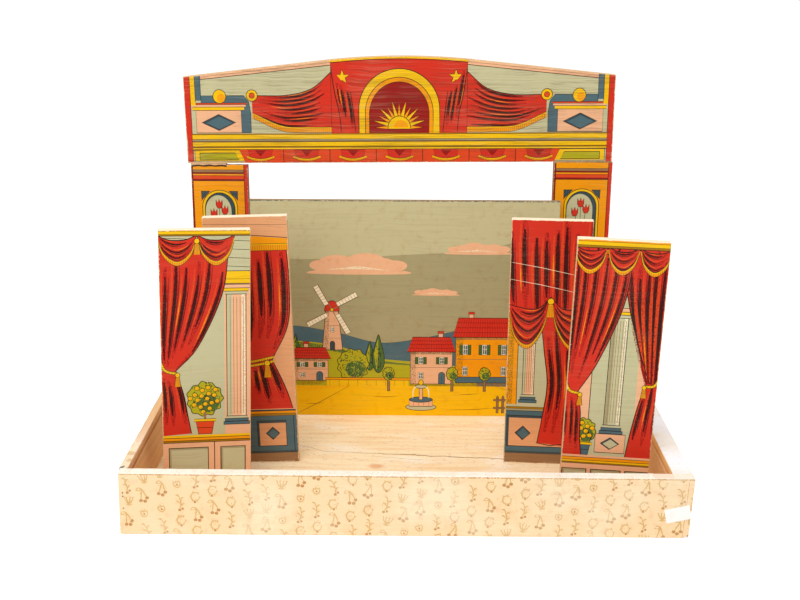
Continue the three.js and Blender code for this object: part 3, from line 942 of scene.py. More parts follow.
def parted_curtains(front):
    """The front right wing: two curtains tied back in front of a niche with a column."""
    art = Drawing(worn_loop(front.outline, 11), "peach")
    art.box(-22, 52, 26, 262, "sage")
    art.line([(-22, 52), (-22, 262)], 0.8)
    column(art, 3, 92, 214, 17, "sage", "haze")
    art.box(-13, 60, 19, 82, "peach", 0.8)
    lozenge(art, 3, 71, 10, 7, "sage")
    shrub(art, -26, 84, 13, 15, 3)
    tub(art, -26, 56, 17, 15)
    cloth(art, [(50, 300), (50, 220), (49, 140), (48, 52)], [(2, 300), (8, 240), (26, 178), (40, 140)], 5, 21)
    cloth(art, [(36, 142), (30, 120), (24, 86), (20, 56)], [(49, 142), (50, 120), (50, 86), (50, 54)], 3, 22)
    cloth(art, [(-50, 300), (-50, 240), (-50, 170), (-47, 128)],
          [(12, 300), (6, 232), (-16, 166), (-36, 128)], 6, 23)
    cloth(art, [(-50, 130), (-50, 105), (-50, 80), (-50, 54)],
          [(-35, 130), (-31, 105), (-30, 80), (-27, 56)], 3, 24)
    cord(art, [(50, 150), (44, 140), (34, 139)])
    tassel(art, 34, 140, 0.9)
    cord(art, [(-50, 142), (-44, 130), (-33, 127)])
    tassel(art, -33, 128, 0.9)
    for left, right, seed in ((-50, -16, 31), (-16, 17, 32), (17, 50, 33)):
        swag(art, (left, 290), (right, 290), 17, 9, seed)
    courses(art, 50, 300, [(5, "ochre"), (4, "yellow"), (2.4, "bronze")])
    top = courses(art, 50, 56, [(3, "peach"), (3.4, "ochre"), (2.6, "yellow"), (1.6, "bronze")], 1.0)
    art.box(-50, 0, 50, top, "peach")
    for left, right in ((-46, -20), (-15, 17), (22, 46)):
        inset(art, left, 6, right, top - 6)
    return art


def side_curtain(front):
    """The front left wing: a curtain tied back to the left, a column to the right and a small tree in a tub."""
    art = Drawing(worn_loop(front.outline, 12), "peach")
    art.box(-50, 250, 50, 300, "sage")
    for step in range(5):
        art.line([(-50, 262 + step * 9), (50, 256 + step * 9.6)], 0.6)
    art.box(-48, 62, 20, 252, "sage")
    column(art, 33, 84, 226, 21)
    art.box(18, 238, 50, 252, "yellow", 0.8)
    art.line([(18, 243), (50, 243)], 0.6, "bronze")
    shrub(art, -2, 106, 19, 20, 5)
    art.line([(-2, 80), (-2, 90)], 2.6, "brown")
    tub(art, -2, 64, 21, 18, "vermilion")
    cloth(art, [(-50, 282), (-50, 230), (-50, 180), (-46, 138)],
          [(26, 282), (18, 226), (-8, 168), (-34, 138)], 6, 41)
    cloth(art, [(-50, 140), (-50, 110), (-50, 84), (-49, 63)],
          [(-33, 140), (-25, 112), (-21, 88), (-17, 65)], 3, 42)
    cord(art, [(-50, 152), (-44, 140), (-31, 136)])
    tassel(art, -31, 137)
    swag(art, (-50, 292), (-8, 292), 20, 10, 43)
    swag(art, (-8, 292), (32, 292), 20, 10, 44)
    tassel(art, -8, 288, 1.1)
    courses(art, 50, 300, [(4, "ochre"), (3.4, "yellow"), (1.6, "bronze")])
    top = courses(art, 50, 63, [(3.4, "yellow"), (3.4, "ochre"), (2.4, "bronze")], 1.3)
    art.box(-50, 0, 50, top, "peach")
    art.line([(8, 0), (8, top)], 0.9)
    for left, right in ((-42, 1), (15, 42)):
        inset(art, left, 7, right, top - 6)
    return art


def full_curtain(front):
    """The back left wing: one straight curtain caught in by a band, under a plain boxed head."""
    art = Drawing(worn_loop(front.outline, 13), "clay")
    cloth(art, [(-50, 270), (-50, 220), (-46, 170), (-32, 128)],
          [(44, 270), (46, 220), (42, 170), (22, 128)], 7, 51)
    cloth(art, [(-31, 130), (-40, 108), (-46, 86), (-48, 67)],
          [(21, 130), (30, 108), (38, 86), (43, 67)], 6, 52)
    for line in (0, 5):
        cord(art, [(-34, 131 - line), (-6, 126 - line), (24, 131 - line)])
    tassel(art, 16, 127, 1.3)
    art.box(-50, 262, 50, 300, "clay")
    art.area([(-50, 262), (50, 262), (50, 271), (-50, 280)], "ochre")
    art.line([(-50, 281), (50, 272)], 0.8)
    fringe(art, np.array([(-50.0, 265.0), (50.0, 265.0)]), 7)
    art.line([(-50, 290), (50, 287)], 0.6, "brown")
    top = courses(art, 50, 66, [(2, "steel"), (3, "ochre"), (3, "bronze")])
    art.box(-50, 13, 50, top, "slate")
    for x in (-25, 17):
        art.box(x - 17, 20, x + 17, top - 6, "steel", 0.8)
        art.box(x - 14.5, 20.5, x + 16.5, top - 9, "clay")
        lozenge(art, x + 1, 36, 8, 8, "slate")
    art.line([(43, 13), (43, top)], 0.8)
    courses(art, 50, 14, [(3, "steel"), (11, "brown")])
    return art


def looped_curtain(front):
    """The back right wing: a curtain drawn up in festoons, with a strip of wall and a plinth."""
    art = Drawing(worn_loop(front.outline, 14), "red")
    art.box(-60, 0, 60, 300, "sage")
    art.box(-50, 60, -33, 250, "ochre", 0.8)
    art.box(-45, 62, -38, 230, "bronze", cover=0.5)
    column(art, -20, 86, 150, 13)
    cloth(art, [(-50, 300), (-50, 262), (-47, 214), (-42, 170)],
          [(50, 300), (50, 262), (50, 214), (50, 170)], 8, 61)
    art.box(-50, 14, 50, 66, "slate")
    art.box(-43, 21, 36, 60, "steel", 0.8)
    art.box(-40.5, 21.5, 35.5, 57, "clay")
    lozenge(art, -24, 38, 9, 9, "slate")
    courses(art, 50, 74, [(3, "sage"), (2.6, "bronze"), (2.4, "haze")])
    left_edge = [(-8, 176), (-3, 140), (2, 100), (-2, 60), (-7, 26)]
    cloth(art, left_edge, [(50, 176), (50, 140), (50, 100), (50, 60), (50, 20)], 5, 62)
    art.brush([(-8, 26), (8, 23), (28, 26), (50, 20)], [0.9, 1.2, 0.9], "line")
    swag(art, (-46, 196), (2, 206), 34, 20, 63, 4)
    swag(art, (2, 206), (50, 196), 34, 20, 64, 4)
    tassel(art, 2, 204, 1.4)
    for start in (246, 226):
        art.brush([(-47, start), (-10, start - 6), (44, start - 17)], [0.3, 0.8, 0.5, 0.2], "cream", 0.75)
    courses(art, 50, 15, [(3, "steel"), (12, "brown")])
    return art


def narrowed(across, up, height):
    """How far points of the left pillar lie inwards at its left edge, where its upper half is worn narrower."""
    worn, edge = 2.0, -30
    return worn * np.clip(up / height * 2 - 1, 0, 1) * (across < edge)


def tulip(art, x, y):
    """A red flower and its stalk."""
    art.line([(0, 232), (x * 0.6, 246), (x, y)], 0.8, "forest")
    cup = [(-4, -1), (-2, -5), (2, -5), (4, -1), (4, 6), (1.6, 2), (0, 7), (-1.6, 2), (-4, 6)]
    art.at(x, y).edged(cup, "red")


def pillar_front(front):
    """A pillar: bands at its head, a niche with a vase, a long panel and a plinth; a torn pillar also gets
    painted shade along its top.
    """
    head, wave = 326.3, 0.42
    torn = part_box(front.board)[1].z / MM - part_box(front.node)[1].z / MM
    broken = torn > 1
    outline = worn_loop(front.outline, 15)
    if broken:
        upper = outline[:, 1] > front.height - 1
        outline[upper, 1] += 1.4 + 0.4 * np.sin(outline[upper, 0] * wave)
        outline[:, 0] += narrowed(outline[:, 0], outline[:, 1], front.height)
    art = Drawing(outline, "ochre", front.height + torn - head)
    courses(art, 40, head, [(8.2, "ochre"), (3.4, "brown"), (1.7, "deep_red")], 0.9)
    courses(art, 40, 313.0, [(2.3, "ochre"), (4.6, "vermilion"), (1.8, "deep_red")], 0.9)
    left = -32.9 if broken else -34.4
    art.box(-40, -9, left, 330, "deep_red")
    art.box(32, -9, 40, 330, "red")
    for x in (left + 0.2, 31.8):
        art.line([(x, -9), (x, 330)], 0.8)
    for side in (-1, 1):
        art.edged([(side * 23, 291), (side * 12, 291), (side * 23, 279)], "steel")
    niche = np.array([(-19, 196), *arc(0, 268, 19, 21, 180, 0, 18), (19, 196)])
    art.edged((niche - (0, 196)) * (1.16, 1.035) + (0, 196), "yellow", 0.8)
    art.edged(niche, "steel", 0.8)
    art.area((niche - (0, 197)) * (0.86, 0.965) + (-2, 197), "sage")
    for place in ((-8, 262), (6, 266), (-1, 274)):
        tulip(art, *place)
    for side in (-1, 1):
        art.brush([(0, 234), (side * 6, 244), (side * 13, 245)], [0.6, 3.2, 0.3], "forest")
    vase = [(-4, 202), (-9, 214), (-8, 226), (-4, 233), (4, 233), (8, 226), (9, 214), (4, 202)]
    art.edged(smooth(vase, True, 1.5), "vermilion")
    art.line([(-9, 220), (9, 220)], 1.2, "yellow")
    courses(art, 33, 196, [(3, "yellow"), (3, "bronze"), (2, "haze")])
    art.box(-24, 66, 24, 178, "bronze", 0.8)
    art.box(-21, 68.5, 23.5, 175, "yellow")
    art.box(-15, 76, 16, 168, "red", 0.8)
    for y in (95, 122, 149):
        lozenge(art, 0.5, y, 9, 11, "yellow", "maroon")
    top = courses(art, 40, 54, [(3, "yellow"), (4, "ochre"), (2.4, "bronze"), (2, "slate")])
    art.box(-40, -9, 40, top, "slate")
    art.box(-28, 10, 28, top - 8, "steel", 0.8)
    art.box(-25.5, 10.5, 27.5, top - 10.5, "peach")
    if broken:
        # Painted shade: a dark ragged line along the torn top, standing in for the shadow in the gap under the
        # pediment.
        across = -37 + np.arange(26) * 1.9
        gap_shade = np.column_stack([across, head - torn - 0.4 + 0.4 * np.sin(across * wave)])
        art.brush(gap_shade, [1.4, 2.6, 1.8, 2.8, 1.7, 2.6, 2.4], "line")
    return art


def pediment_end(art, side):
    """One end of the pediment: sky, festoon and plinth, drawn for the right and mirrored for the left."""
    half = art.at(across=side)
    half.area([(84, 121), (84, 133), (250, 114), (250, 103.5)], "peach")
    half.line([(84, 120.5), (252, 103)], 0.8)
    half.line([(84, 124), (252, 106)], 0.5, "brown")
    half.edged([(245, 38), (245, 84), (192, 84), (186, 76), (184, 62), (184, 38)], "slate")
    half.box(196, 38, 252, 66, "peach", 0.8)
    lozenge(art, side * 224, 51, 21, 10, "slate")
    for low, high, left, ink in ((66, 70, 192, "yellow"), (70, 73, 190, "peach"), (73, 75, 188.5, "vermilion")):
        half.box(left, low, 256, high, ink, 0.6)
    half.disc(222, 83, 8, 8.5, 18, "yellow", 0.8)
    art.disc(side * 222 + 2, 81, 5, 5.5, 14, "ochre", cover=0.7)
    for left, low, right, ink in ((258, 0, 270, "red"), (252, 72, 258, "yellow"), (245, 78, 252, "slate")):
        half.box(left, low, right, 112, ink)
    for x in (258, 252, 245):
        half.line([(x, 76), (x, 112)], 0.6)
    half.line([(258, 0), (258, 80)])
    upper = [(side * x, y) for x, y in ((84, 112), (108, 92), (140, 84), (182, 84))]
    lower = [(side * x, y) for x, y in ((84, 44), (112, 44), (146, 46), (182, 62))]
    fringe(art, cloth(art, upper, lower, 8, 70 + side)[::side], 6)
    half.disc(182, 84, 7, 7, 14, "yellow", 0.8)
    half.disc(182, 84, 3.4, 3.4, 10, "vermilion", 0.6)


def pediment_front(front):
    """The pediment: cornices, a sun in an arched frame on red, red festoons and plinths at the ends."""
    outline = worn_loop(front.outline, 16, 0.6)
    torn = (outline[:, 1] < 1) & (outline[:, 0] < -214)
    outline[torn, 1] += np.random.default_rng(17).uniform(0.7, 2.2, torn.sum())
    art = Drawing(outline, "sage")
    for side in (-1, 1):
        pediment_end(art, side)
    art.box(-84, 36, 84, 135, "red", 1.0)
    inner, outer = arc(0, 0, 3.8, None, 54, 414, 5), arc(0, 0, 9, None, 90, 450, 5)
    for x in (-70, 70):
        art.at(x, 106).edged(np.reshape(list(zip(inner, outer)), (-1, 2)), "yellow")
    for side in (-1, 1):
        cloth(art, [(side * 84, 118), (side * 80, 90), (side * 74, 60), (side * 72, 38)],
              [(side * 60, 88), (side * 58, 74), (side * 56, 56), (side * 54, 38)], 3, 80 + side)
    arch = np.array([(-50, 0), *arc(0, 30, 50, 50, 180, 0, 36), (50, 0)])
    for across, up, ink, rule in (
        (1, 1, "yellow", 1.0), (0.84, 0.87, "ochre", 0.8), (0.74, 0.80, "deep_red", 0.8),
    ):
        art.at(0, 36, across, up).edged(arch, ink, rule)
    sun = art.at(0, 44)
    for ray in range(13):
        turn = math.radians(15 * ray)
        wide, reach, ink = (0.2, 34, "yellow") if ray % 2 else (0.17, 30, "ochre")
        sun.edged([(length * math.cos(turn + w), length * math.sin(turn + w))
                   for w, length in ((-wide, 13), (0, reach), (wide, 13))], ink, 0.5)
    sun.edged([(-14, -2), *arc(0, 0, 14, 14, 180, 0, 18), (14, -2)], "yellow", 0.8)
    sun.area(arc(2, 0, 9, 9, 0, 180, 14), "ochre", 0.7)
    curve = np.array([(-85, 126.5), (-45, 129.6), (0, 130.8), (45, 129.6), (85, 126.5)])
    art.line(smooth(curve), 5.0, "yellow")
    art.line(smooth(curve - (0, 3.2)), 0.8)
    top = courses(art, 258, 37, [
        (1.4, "bronze"), (6, "yellow"), (2.2, "haze"), (1.2, "brown"),
        (5.5, "yellow"), (1.4, "bronze"), (2.4, "yellow"),
    ], 1.0)
    art.box(-205, 0, 205, top, "vermilion")
    for x in range(-174, 175, 58):
        tab = art.at(x)
        tab.line([(-29, 0), (-29, top)], 0.8)
        tab.edged([(-16, top), (16, top), (12, 5), (0, 2.4), (-12, 5)], "red")
        tab.area([(-7, top - 1), (7, top - 1), (0, 8)], "deep_red", 0.8)
        fringe(tab, smooth([(-17, 8.5), (-8, 5.4), (0, 4.6), (8, 5.4), (17, 8.5)]), 2.6, 2.0)
    for side in (-1, 1):
        half = art.at(across=side)
        half.edged([(256, 2.4), (256, top - 0.4), (200, top - 0.4), (194, 2.4)], "yellow", 0.8)
        half.edged([(250, 4), (250, top - 4), (206, top - 4), (201, 4)], "leaf", 0.8)
        half.line([(258, 1.6), (194, 1.6)], 2.4, "haze")
    return art


def cloud(art, x, y, width, height, seed):
    """A flat cloud with a row of round tops."""
    art, chance = art.at(x, y), np.random.default_rng(seed)
    foot = [(-0.5, 0), (-0.3, 0.2), (0.34, 0.2), (0.5, 0), (0, -0.06)]
    art.area(smooth(np.array(foot) * (width, height), True), "peach")
    for share in np.linspace(-0.36, 0.36, 6):
        size = height * (0.34 + 0.3 * math.cos(share * 3.6)) * chance.uniform(0.8, 1.1)
        art.disc(width * share, height * 0.2 + size * 0.5, size * 1.5, size * 0.7, 18, "peach")
    gleam = [(-width * 0.3, height * 0.2), (0, height * 0.3), (width * 0.3, height * 0.16)]
    art.brush(gleam, [0.4, height * 0.16, 0.3], "cream", 0.5)


def window(art, x, y, wide, high, shutters=True):
    """A window with its bars, and slatted shutters beside it."""
    art, half = art.at(x, y), wide / 2
    for side in (-1, 1) if shutters else ():
        left = side * wide * 0.82 - wide * 0.3
        art.box(left, 0, left + wide * 0.6, high, "forest", 0.5)
        for step in range(1, 4):
            art.line([(left, high * step / 4), (left + wide * 0.6, high * step / 4)], 0.35)
    art.box(-half, 0, half, high, "cream", 0.6)
    art.box(1 - half, 1, half - 0.6, high - 1, "slate", cover=0.8)
    art.line([(0, 0), (0, high)], 0.5, "cream")
    art.line([(-half, high * 0.55), (half, high * 0.55)], 0.5, "cream")


def tiled_roof(art, corners):
    """A red roof between its left eave, right eave, right ridge and left ridge, with lines of tiles."""
    art.edged(corners, "red", 0.9)
    low, right, high, left = (np.array(corner, float) for corner in corners)
    for share in (0.25, 0.5, 0.75):
        art.line([low + (left - low) * share, right + (high - right) * share], 0.45, "maroon")
    count = max(3, int(np.linalg.norm(right - low) / 3.4))
    for share in np.arange(1, count) / count:
        art.line([low + (right - low) * share, left + (high - left) * share], 0.4, "deep_red")


def cypress(art, x, bottom, height):
    """A narrow dark tree with light down its left side."""
    art, chance, width = art.at(x, bottom), np.random.default_rng(int(x + 300)), height * 0.3
    shape = [(0, 0), (0.42, 0.16), (0.46, 0.45), (0.2, 0.8), (0, 1), (-0.22, 0.8), (-0.5, 0.45), (-0.4, 0.14)]
    art.edged(smooth(np.array(shape) * (width, height), True, 2.0), "forest", 0.8)
    light = [(-width * 0.15, height * 0.1), (-width * 0.2, height * 0.5), (-0.5, height * 0.88)]
    art.brush(light, [1, width * 0.36, 0.4], "leaf", 0.7)
    for _ in range(int(height / 3)):
        up = chance.uniform(0.08, 0.8)
        px = chance.uniform(-0.3, 0.3) * width * (1 - up * 0.6)
        art.brush([(px, height * up), (px + 0.7, height * up + 3.4)], [1.1, 0.1], "line")


def cottage(art, left, bottom, width, height, roof, wall, chimney):
    """A house seen from the front: wall, tiled roof, chimney, door and windows."""
    art, x = art.at(left, bottom), width * chimney
    art.box(x, height + roof * 0.4, x + 6, height + roof + 7, "peach", 0.7)
    art.box(x - 1, height + roof + 5, x + 7, height + roof + 8, "red", 0.6)
    art.box(0, 0, width, height, wall, 0.9)
    art.box(0.5, height - 3.4, width - 0.5, height, "brown", cover=0.6)
    art.box(0.5, 0, width * 0.13, height, "bronze" if wall == "ochre" else "brown", cover=0.45)
    art.area([(-8, -6), (2, 0), (width, 0), (width - 14, -6)], "bronze", 0.5)
    tiled_roof(art, [(-4, height), (width + 4, height), (width - 3, height + roof), (3, height + roof)])
    art.line([(0, height * 0.52), (width, height * 0.52)], 0.6, "brown")
    count = max(1, int(width / 20))
    for index in range(count):
        px = width * (index + 0.5) / count
        window(art, px, height * 0.62, 6.5, height * 0.22)
        if index == count // 2:
            art.edged([(px - 4, 0), *arc(px, height * 0.28, 4, 4, 180, 0, 8), (px + 4, 0)], "slate")
            art.line([(px, 0), (px, height * 0.3)], 0.4)
        else:
            window(art, px, height * 0.16, 6.5, height * 0.2, False)


def windmill(art):
    """A round tower with a cap, a door, a window and four latticed sails."""
    art.edged([(-13, 0), (13, 0), (8, 52), (-8, 52)], "peach", 0.9)
    art.area([(-12.4, 0.6), (-5, 0.6), (-3.4, 51), (-7.6, 51)], "brown", 0.45)
    for y in (16, 33):
        reach = 13 - y * 0.096
        art.line([(-reach, y), (reach, y)], 0.5, "brown")
    art.edged([(-9.5, 52), *arc(0, 52, 9.5, 14, 180, 0, 12)], "red", 0.8)
    art.edged([(-3, 0), *arc(0, 9, 3, 3, 180, 0, 6), (3, 0)], "steel", 0.6)
    window(art, 0, 24, 4.4, 7, False)
    for quarter in range(4):
        turn = math.radians(28 + 90 * quarter)
        ahead, aside = np.array((math.cos(turn), math.sin(turn))), np.array((-math.sin(turn), math.cos(turn)))
        art.line([(0, 54), ahead * 38 + (0, 54)], 1.2, "brown")
        sail = [ahead * out + aside * wide + (0, 54) for out, wide in ((9, 0), (37, 0), (37, 7), (9, 6))]
        art.edged(sail, "cream", 0.6)
        for step in np.linspace(13, 34, 6):
            at = ahead * step + (0, 54)
            art.line([at, at + aside * 6.6], 0.4, "brown")
    art.disc(0, 54, 2.2, 2.2, 10, "yellow", 0.6)


def fountain(art):
    """A round stone basin with a step round it, and a spout that fills it from both sides."""
    art.disc(0, 4, 21, 5, 24, "sage", 0.8)
    art.box(-16, 5, 16, 15, "peach", 0.8)
    art.disc(0, 15, 16, 4, 22, "slate", 0.8)
    for x in (-10, -3, 4, 11):
        art.line([(x, 6), (x, 12)], 0.5, "brown")
    art.box(-2.4, 15, 2.4, 34, "peach", 0.7)
    art.disc(0, 34, 8, 2.6, 16, "sage", 0.7)
    art.disc(0, 40, 3.2, 4, 12, "yellow", 0.7)
    for side in (-1, 1):
        art.brush(smooth([(side * 6, 34), (side * 10, 30), (side * 11, 17)]), [1.0, 1.6, 0.6], "cream", 0.8)


def landscape(art):
    """The sky, its clouds, the hills and their trees, and a mill."""
    for step, cover in enumerate((0.12, 0.28, 0.45, 0.62, 0.8, 0.95)):
        top = 240 - step * 5.5
        skyline = [(-200, -18), (-110, -20), (0, -14), (90, -8), (150, 6), (200, 14)]
        art.area([*(smooth(skyline) + (0, top)), (200, 60), (-200, 60)], "haze", cover)
    art.box(-200, 288.4, 200, 300, "steel", cover=0.7)
    cloud(art, -58, 196, 128, 26, 1)
    cloud(art, 92, 222, 84, 15, 2)
    cloud(art, 40, 168, 60, 9, 4)
    far = [(-210, 40), (-210, 112), (-150, 126), (-90, 118), (-30, 104),
           (30, 112), (96, 126), (150, 118), (210, 128), (210, 40)]
    near = [(-210, 30), (-210, 96), (-150, 106), (-88, 100), (-40, 84),
            (20, 78), (60, 74), (90, 60), (60, 30)]
    art.edged(smooth(far, True), "slate", 0.5, "steel")
    art.area(smooth(near, True), "leaf")
    shade_line = smooth([(-200, 92), (-150, 101), (-90, 95), (-42, 80), (20, 73)])
    art.brush(shade_line, [3, 8, 6, 4, 1], "forest", 0.65)
    windmill(art.at(-92, 94))
    for x, y, height in ((-152, 84, 26), (-139, 82, 33), (-44, 66, 40), (-33, 63, 52)):
        cypress(art, x, y, height)


def village(front):
    """The backdrop: a mill on a hill, cypresses, a row of houses and a fountain on a yellow square."""
    art = Drawing(worn_loop(front.outline, 17), "sky")
    landscape(art)
    cottage(art, 66, 50, 74, 62, 26, "ochre", 0.22)
    cottage(art, 8, 48, 54, 44, 20, "peach", 0.66)
    cottage(art, -142, 52, 44, 30, 15, "peach", 0.3)
    art.edged([(139, 46), (200, 36), (200, 132), (139, 112)], "yellow", 0.9)
    tiled_roof(art, [(135, 111), (204, 132), (204, 158), (141, 132)])
    for x, y in ((152, 84), (174, 88), (152, 54), (174, 52)):
        window(art, x, y, 7, 17)
    art.box(66, 50, 140, 58, "slate", 0.7)
    shrub(art, -66, 74, 20, 21, 8, False)
    art.brush([(-66, 42), (-66, 58)], [5, 4], "brown")
    art.box(-100, 44, 6, 54, "yellow", 0.8)
    for x in range(-96, 4, 12):
        art.line([(x, 44), (x, 54)], 0.5, "bronze")
    art.box(-102, 53, 8, 56, "ochre", 0.6)
    art.box(-200, -5, 200, 45, "ground")
    art.area([(-200, -5), (-200, 30), (-60, 45), (-100, 45), (-200, 45)], "ochre", 0.4)
    for x, y, end_x, end_y in (
        (-150, 0, -70, 45), (120, 45, 190, 18), (-40, 30, -8, 31),
        (60, 12, 118, 15), (70, 34, 96, 35), (-128, 20, -104, 21),
    ):
        art.brush([(x, y), ((x + end_x) / 2, (y + end_y) / 2 - 0.8), (end_x, end_y)], [0.3, 1.0, 0.3], "bronze")
    art.area([(-200, -5), (-200, 16), (-152, 12), (-128, -5)], "slate", 0.75)
    fountain(art.at(22, 12, 0.95, 0.95))
    for x in (-20, 62, 104):
        art.box(x - 1.6, 38, x + 1.6, 52, "brown", 0.6)
        shrub(art, x, 62, 7.5, 9, x + 40, False)
    for x in range(120, 196, 7):
        art.edged([(x, 8), (x + 3, 8), (x + 3, 30), (x + 1.5, 33), (x, 30)], "brown", 0.5)
    for y in (14, 25):
        art.box(116, y, 200, y + 2.4, "brown", 0.5)
    return art


# ---- The patterned paper of the tray ----

CHERRIES, WREATH, BUD, FAN, BRANCH = range(5)


def sprig(art, x, y, kind, lean):
    """One small motif: cherries, a wreath, a bud, a fan of twigs or a leafy branch."""
    turn, size = Matrix.Rotation(lean, 2), 1.15
    fine, dark = papers().sprig, papers().berry

    def put(points):
        return np.array([turn @ Vector(point) for point in points]) * size + (x, y)

    def twig(*points):
        art.area(ribbon(put(smooth(points, step=2.2)), [1.1, 1.43, 0.77]), fine, 0.66)

    def leaf(points, widths):
        art.area(ribbon(put(points), widths), fine, 0.8)

    def spot(px, py, across, up, count, cover, ink=dark):
        art.area(put(arc(px, py, across, up, count=count)), ink, cover)

    spot(0, 0.5, 4.6, 6.2, 10, 0.27, fine)
    if kind == CHERRIES:
        twig((0, 7), (-1.2, 2), (-3, -3.4))
        twig((0, 7), (1.4, 3), (2.6, -1.4))
        twig((0, 7), (-3, 8.2), (-5, 6.2), (-2.4, 5.6), (0, 7))
        for px, py in ((-3.2, -4.4), (2.9, -2.8), (0.4, -5.6)):
            spot(px, py, 1.8, 1.6, 9, 0.78)
    elif kind == WREATH:
        twig(*arc(0, 0, 3.8, 4.2, 40, 400, 14))
        for px, py in arc(0, 0, 3.9, 4.3, count=6):
            leaf([(px, py), (px * 1.4, py * 1.4)], [0.3, 1.1])
        spot(0, -5.4, 1.3, 1.0, 8, 0.8)
    elif kind == BUD:
        twig((-2.6, 2.8), (-2.9, -0.8), (0, -3.4), (2.9, -0.8), (2.6, 2.8))
        twig((-2.6, 2.8), (-1, 1.4), (0, 3.2), (1, 1.4), (2.6, 2.8))
        spot(0, -0.6, 0.9, 1.2, 8, 0.7)
    elif kind == FAN:
        for px in (-4.4, -1.6, 1.6, 4.4):
            twig((0, -3), (px * 0.6, -0.4), (px, 3.2))
            spot(px, 3.6, 0.75, 0.75, 7, 0.9, fine)
        twig((-2.8, -3), (0, -3.9), (2.8, -3))
    else:
        twig((-1.6, -8), (0.4, -3), (0.2, 3), (-1.4, 8))
        for py, side in ((-4.4, 1), (-1.6, -1), (1.6, 1), (4.6, -1)):
            leaf([(0.2, py), (side * 2, py + 2.6), (side * 4, py + 3)], [0.3, 1.9, 0.2])
        spot(-1.2, -7.6, 1.5, 1.3, 8, 0.85)
        spot(1.6, -6.4, 1.2, 1.2, 8, 0.85)


def strewn(art, left, right, top, shift, seed):
    """Motifs in staggered columns over a sheet."""
    chance, apart, above = np.random.default_rng(seed), 18.0, 19.8
    order = (CHERRIES, WREATH, BRANCH, BUD, CHERRIES, FAN, BRANCH, WREATH)
    for index, x in enumerate(np.arange(left - 12 + shift, right + 12, apart)):
        for row, y in enumerate(np.arange(-9 + (index % 3) * 6.5, top + 10, above)):
            kind = order[(index * 3 + row * 5) % len(order)]
            px, py = x + chance.uniform(-1.3, 1.3), y + chance.uniform(-1.3, 1.3)
            sprig(art, px, py, kind, chance.uniform(-0.3, 0.3))


def tear(start, end, steps, depth, seed):
    """A ragged line between two points, without its ends."""
    chance = np.random.default_rng(seed)
    start, end = np.array(start, float), np.array(end, float)
    aside = np.array([-(end - start)[1], (end - start)[0]]) / np.linalg.norm(end - start)
    shares = (np.arange(1, steps) + chance.uniform(-0.3, 0.3, steps - 1)) / steps
    return [tuple(start + (end - start) * s + aside * chance.uniform(-depth, depth)) for s in shares]


class Walls:
    """Planes of the tray in millimetres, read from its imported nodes."""

    # The direction from each wall to the inside.
    INWARD = {"front": (0, 1), "left": (1, 0), "right": (-1, 0), "back": (0, -1)}

    def __init__(self):
        front_low, front_high = (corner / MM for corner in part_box("front_cover"))
        left_low, left_high = (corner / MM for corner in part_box("left_cover"))
        right_low, right_high = (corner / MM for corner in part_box("right_cover"))
        back_low, back_high = (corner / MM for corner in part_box("back_cover"))
        self.left, self.right = front_low.x, front_high.x
        self.front, self.back = front_low.y, back_high.y
        self.top, self.trim = front_high.z, front_low.z
        self.front_rim = front_high.y - front_low.y
        self.left_rim, self.right_rim = left_high.x - left_low.x, right_high.x - right_low.x
        self.left_run, self.right_run = (left_low.y, left_high.y), (right_low.y, right_high.y)
        self.back_top = back_high.z
        self.back_span = (back_low.x, back_high.x)
        self.inner_right = right_low.x
        self.groove = self.back_top + 5.0

    def reach(self, rim):
        """The height of a sheet laid flat that ends at the inner edge of a rim."""
        return self.top - papers().bend / MM * (2 - math.pi / 2) + rim

    def settle(self, mesh):
        """Leans a wall or paper as the old box stands: its rim off level and the front's ends off square."""
        rise, drop = woods().rim_rise / MM, woods().rim_drop / MM
        end_piece, slack = 8.0, 0.02
        for vertex in mesh.vertices:
            x, y, z = vertex.co / MM
            share = z / self.top
            if y < self.front + self.front_rim + slack and abs(x) > self.right - end_piece:
                x += woods().left_lean / MM * share if x < 0 else -woods().right_lean / MM * (1 - share)
            z += share * ((rise - drop) / 2 - (rise + drop) / 2 * x / self.right)
            vertex.co = Vector((x, y, z)) * MM

    def fold(self, art, side, material, rim_height=math.inf):
        """Folds a flat sheet back over the rim, gives it its thickness and puts it on one of the walls.

        The sheet's up is the height on the wall until the fold, and then the way inwards over the rim.
        """
        mesh = art.sheet(f"{side}_paper")
        bend = papers().bend / MM
        turn_length = bend * math.pi / 2
        start = rim_height - bend
        dx, dy = self.INWARD[side]
        outer = (dx + dy) * getattr(self, side)
        for vertex in mesh.vertices:
            across, run, _ = vertex.co
            if run <= start:
                up, inward = run, 0.0
            elif run < start + turn_length:
                angle = (run - start) / bend
                up, inward = start + bend * math.sin(angle), bend * (1 - math.cos(angle))
            else:
                up, inward = rim_height, bend + run - start - turn_length
            depth = outer + inward
            vertex.co = Vector((dx * depth + dy * across, dy * depth - dx * across, up)) * MM
        if rim_height < math.inf:
            self.settle(mesh)
        piece = shown(mesh, f"{side}_paper", material)
        shell = piece.modifiers.new("thickness", "SOLIDIFY")
        shell.thickness = papers().thickness
        shell.offset = -1
        finish_piece(piece, "tray", "cover_paper", f"{side}_cover")


def rubbed_fold(art, rim_height, share, bare):
    """Cuts a sheet where it bends over the rim, and wears its pattern off there."""
    (left, _), (right, top) = art.outline.min(0), art.outline.max(0)
    art.brush([(left - 9, rim_height - 1), (right + 9, rim_height - 1)], [1.5, 1.5], papers().berry, 0.55)
    art.box(left - 9, rim_height - 0.4, right + 9, top + 9, bare, cover=share)
    bend = papers().bend / MM
    ends = np.array([(left - 2, 0), (right + 2, 0)])
    for turned in (0.0, 0.33, 0.67, 1.0):
        art.guides.append(ends + (0, rim_height - bend + bend * math.pi / 2 * turned))
    crease = ends + (0, rim_height - 0.1)
    art.wear_lines.append(crease)
    art.guides += [crease + (0, offset) for offset in (-2.4, 2.4, -5.0, 5.0)]


# ---- Operators ----


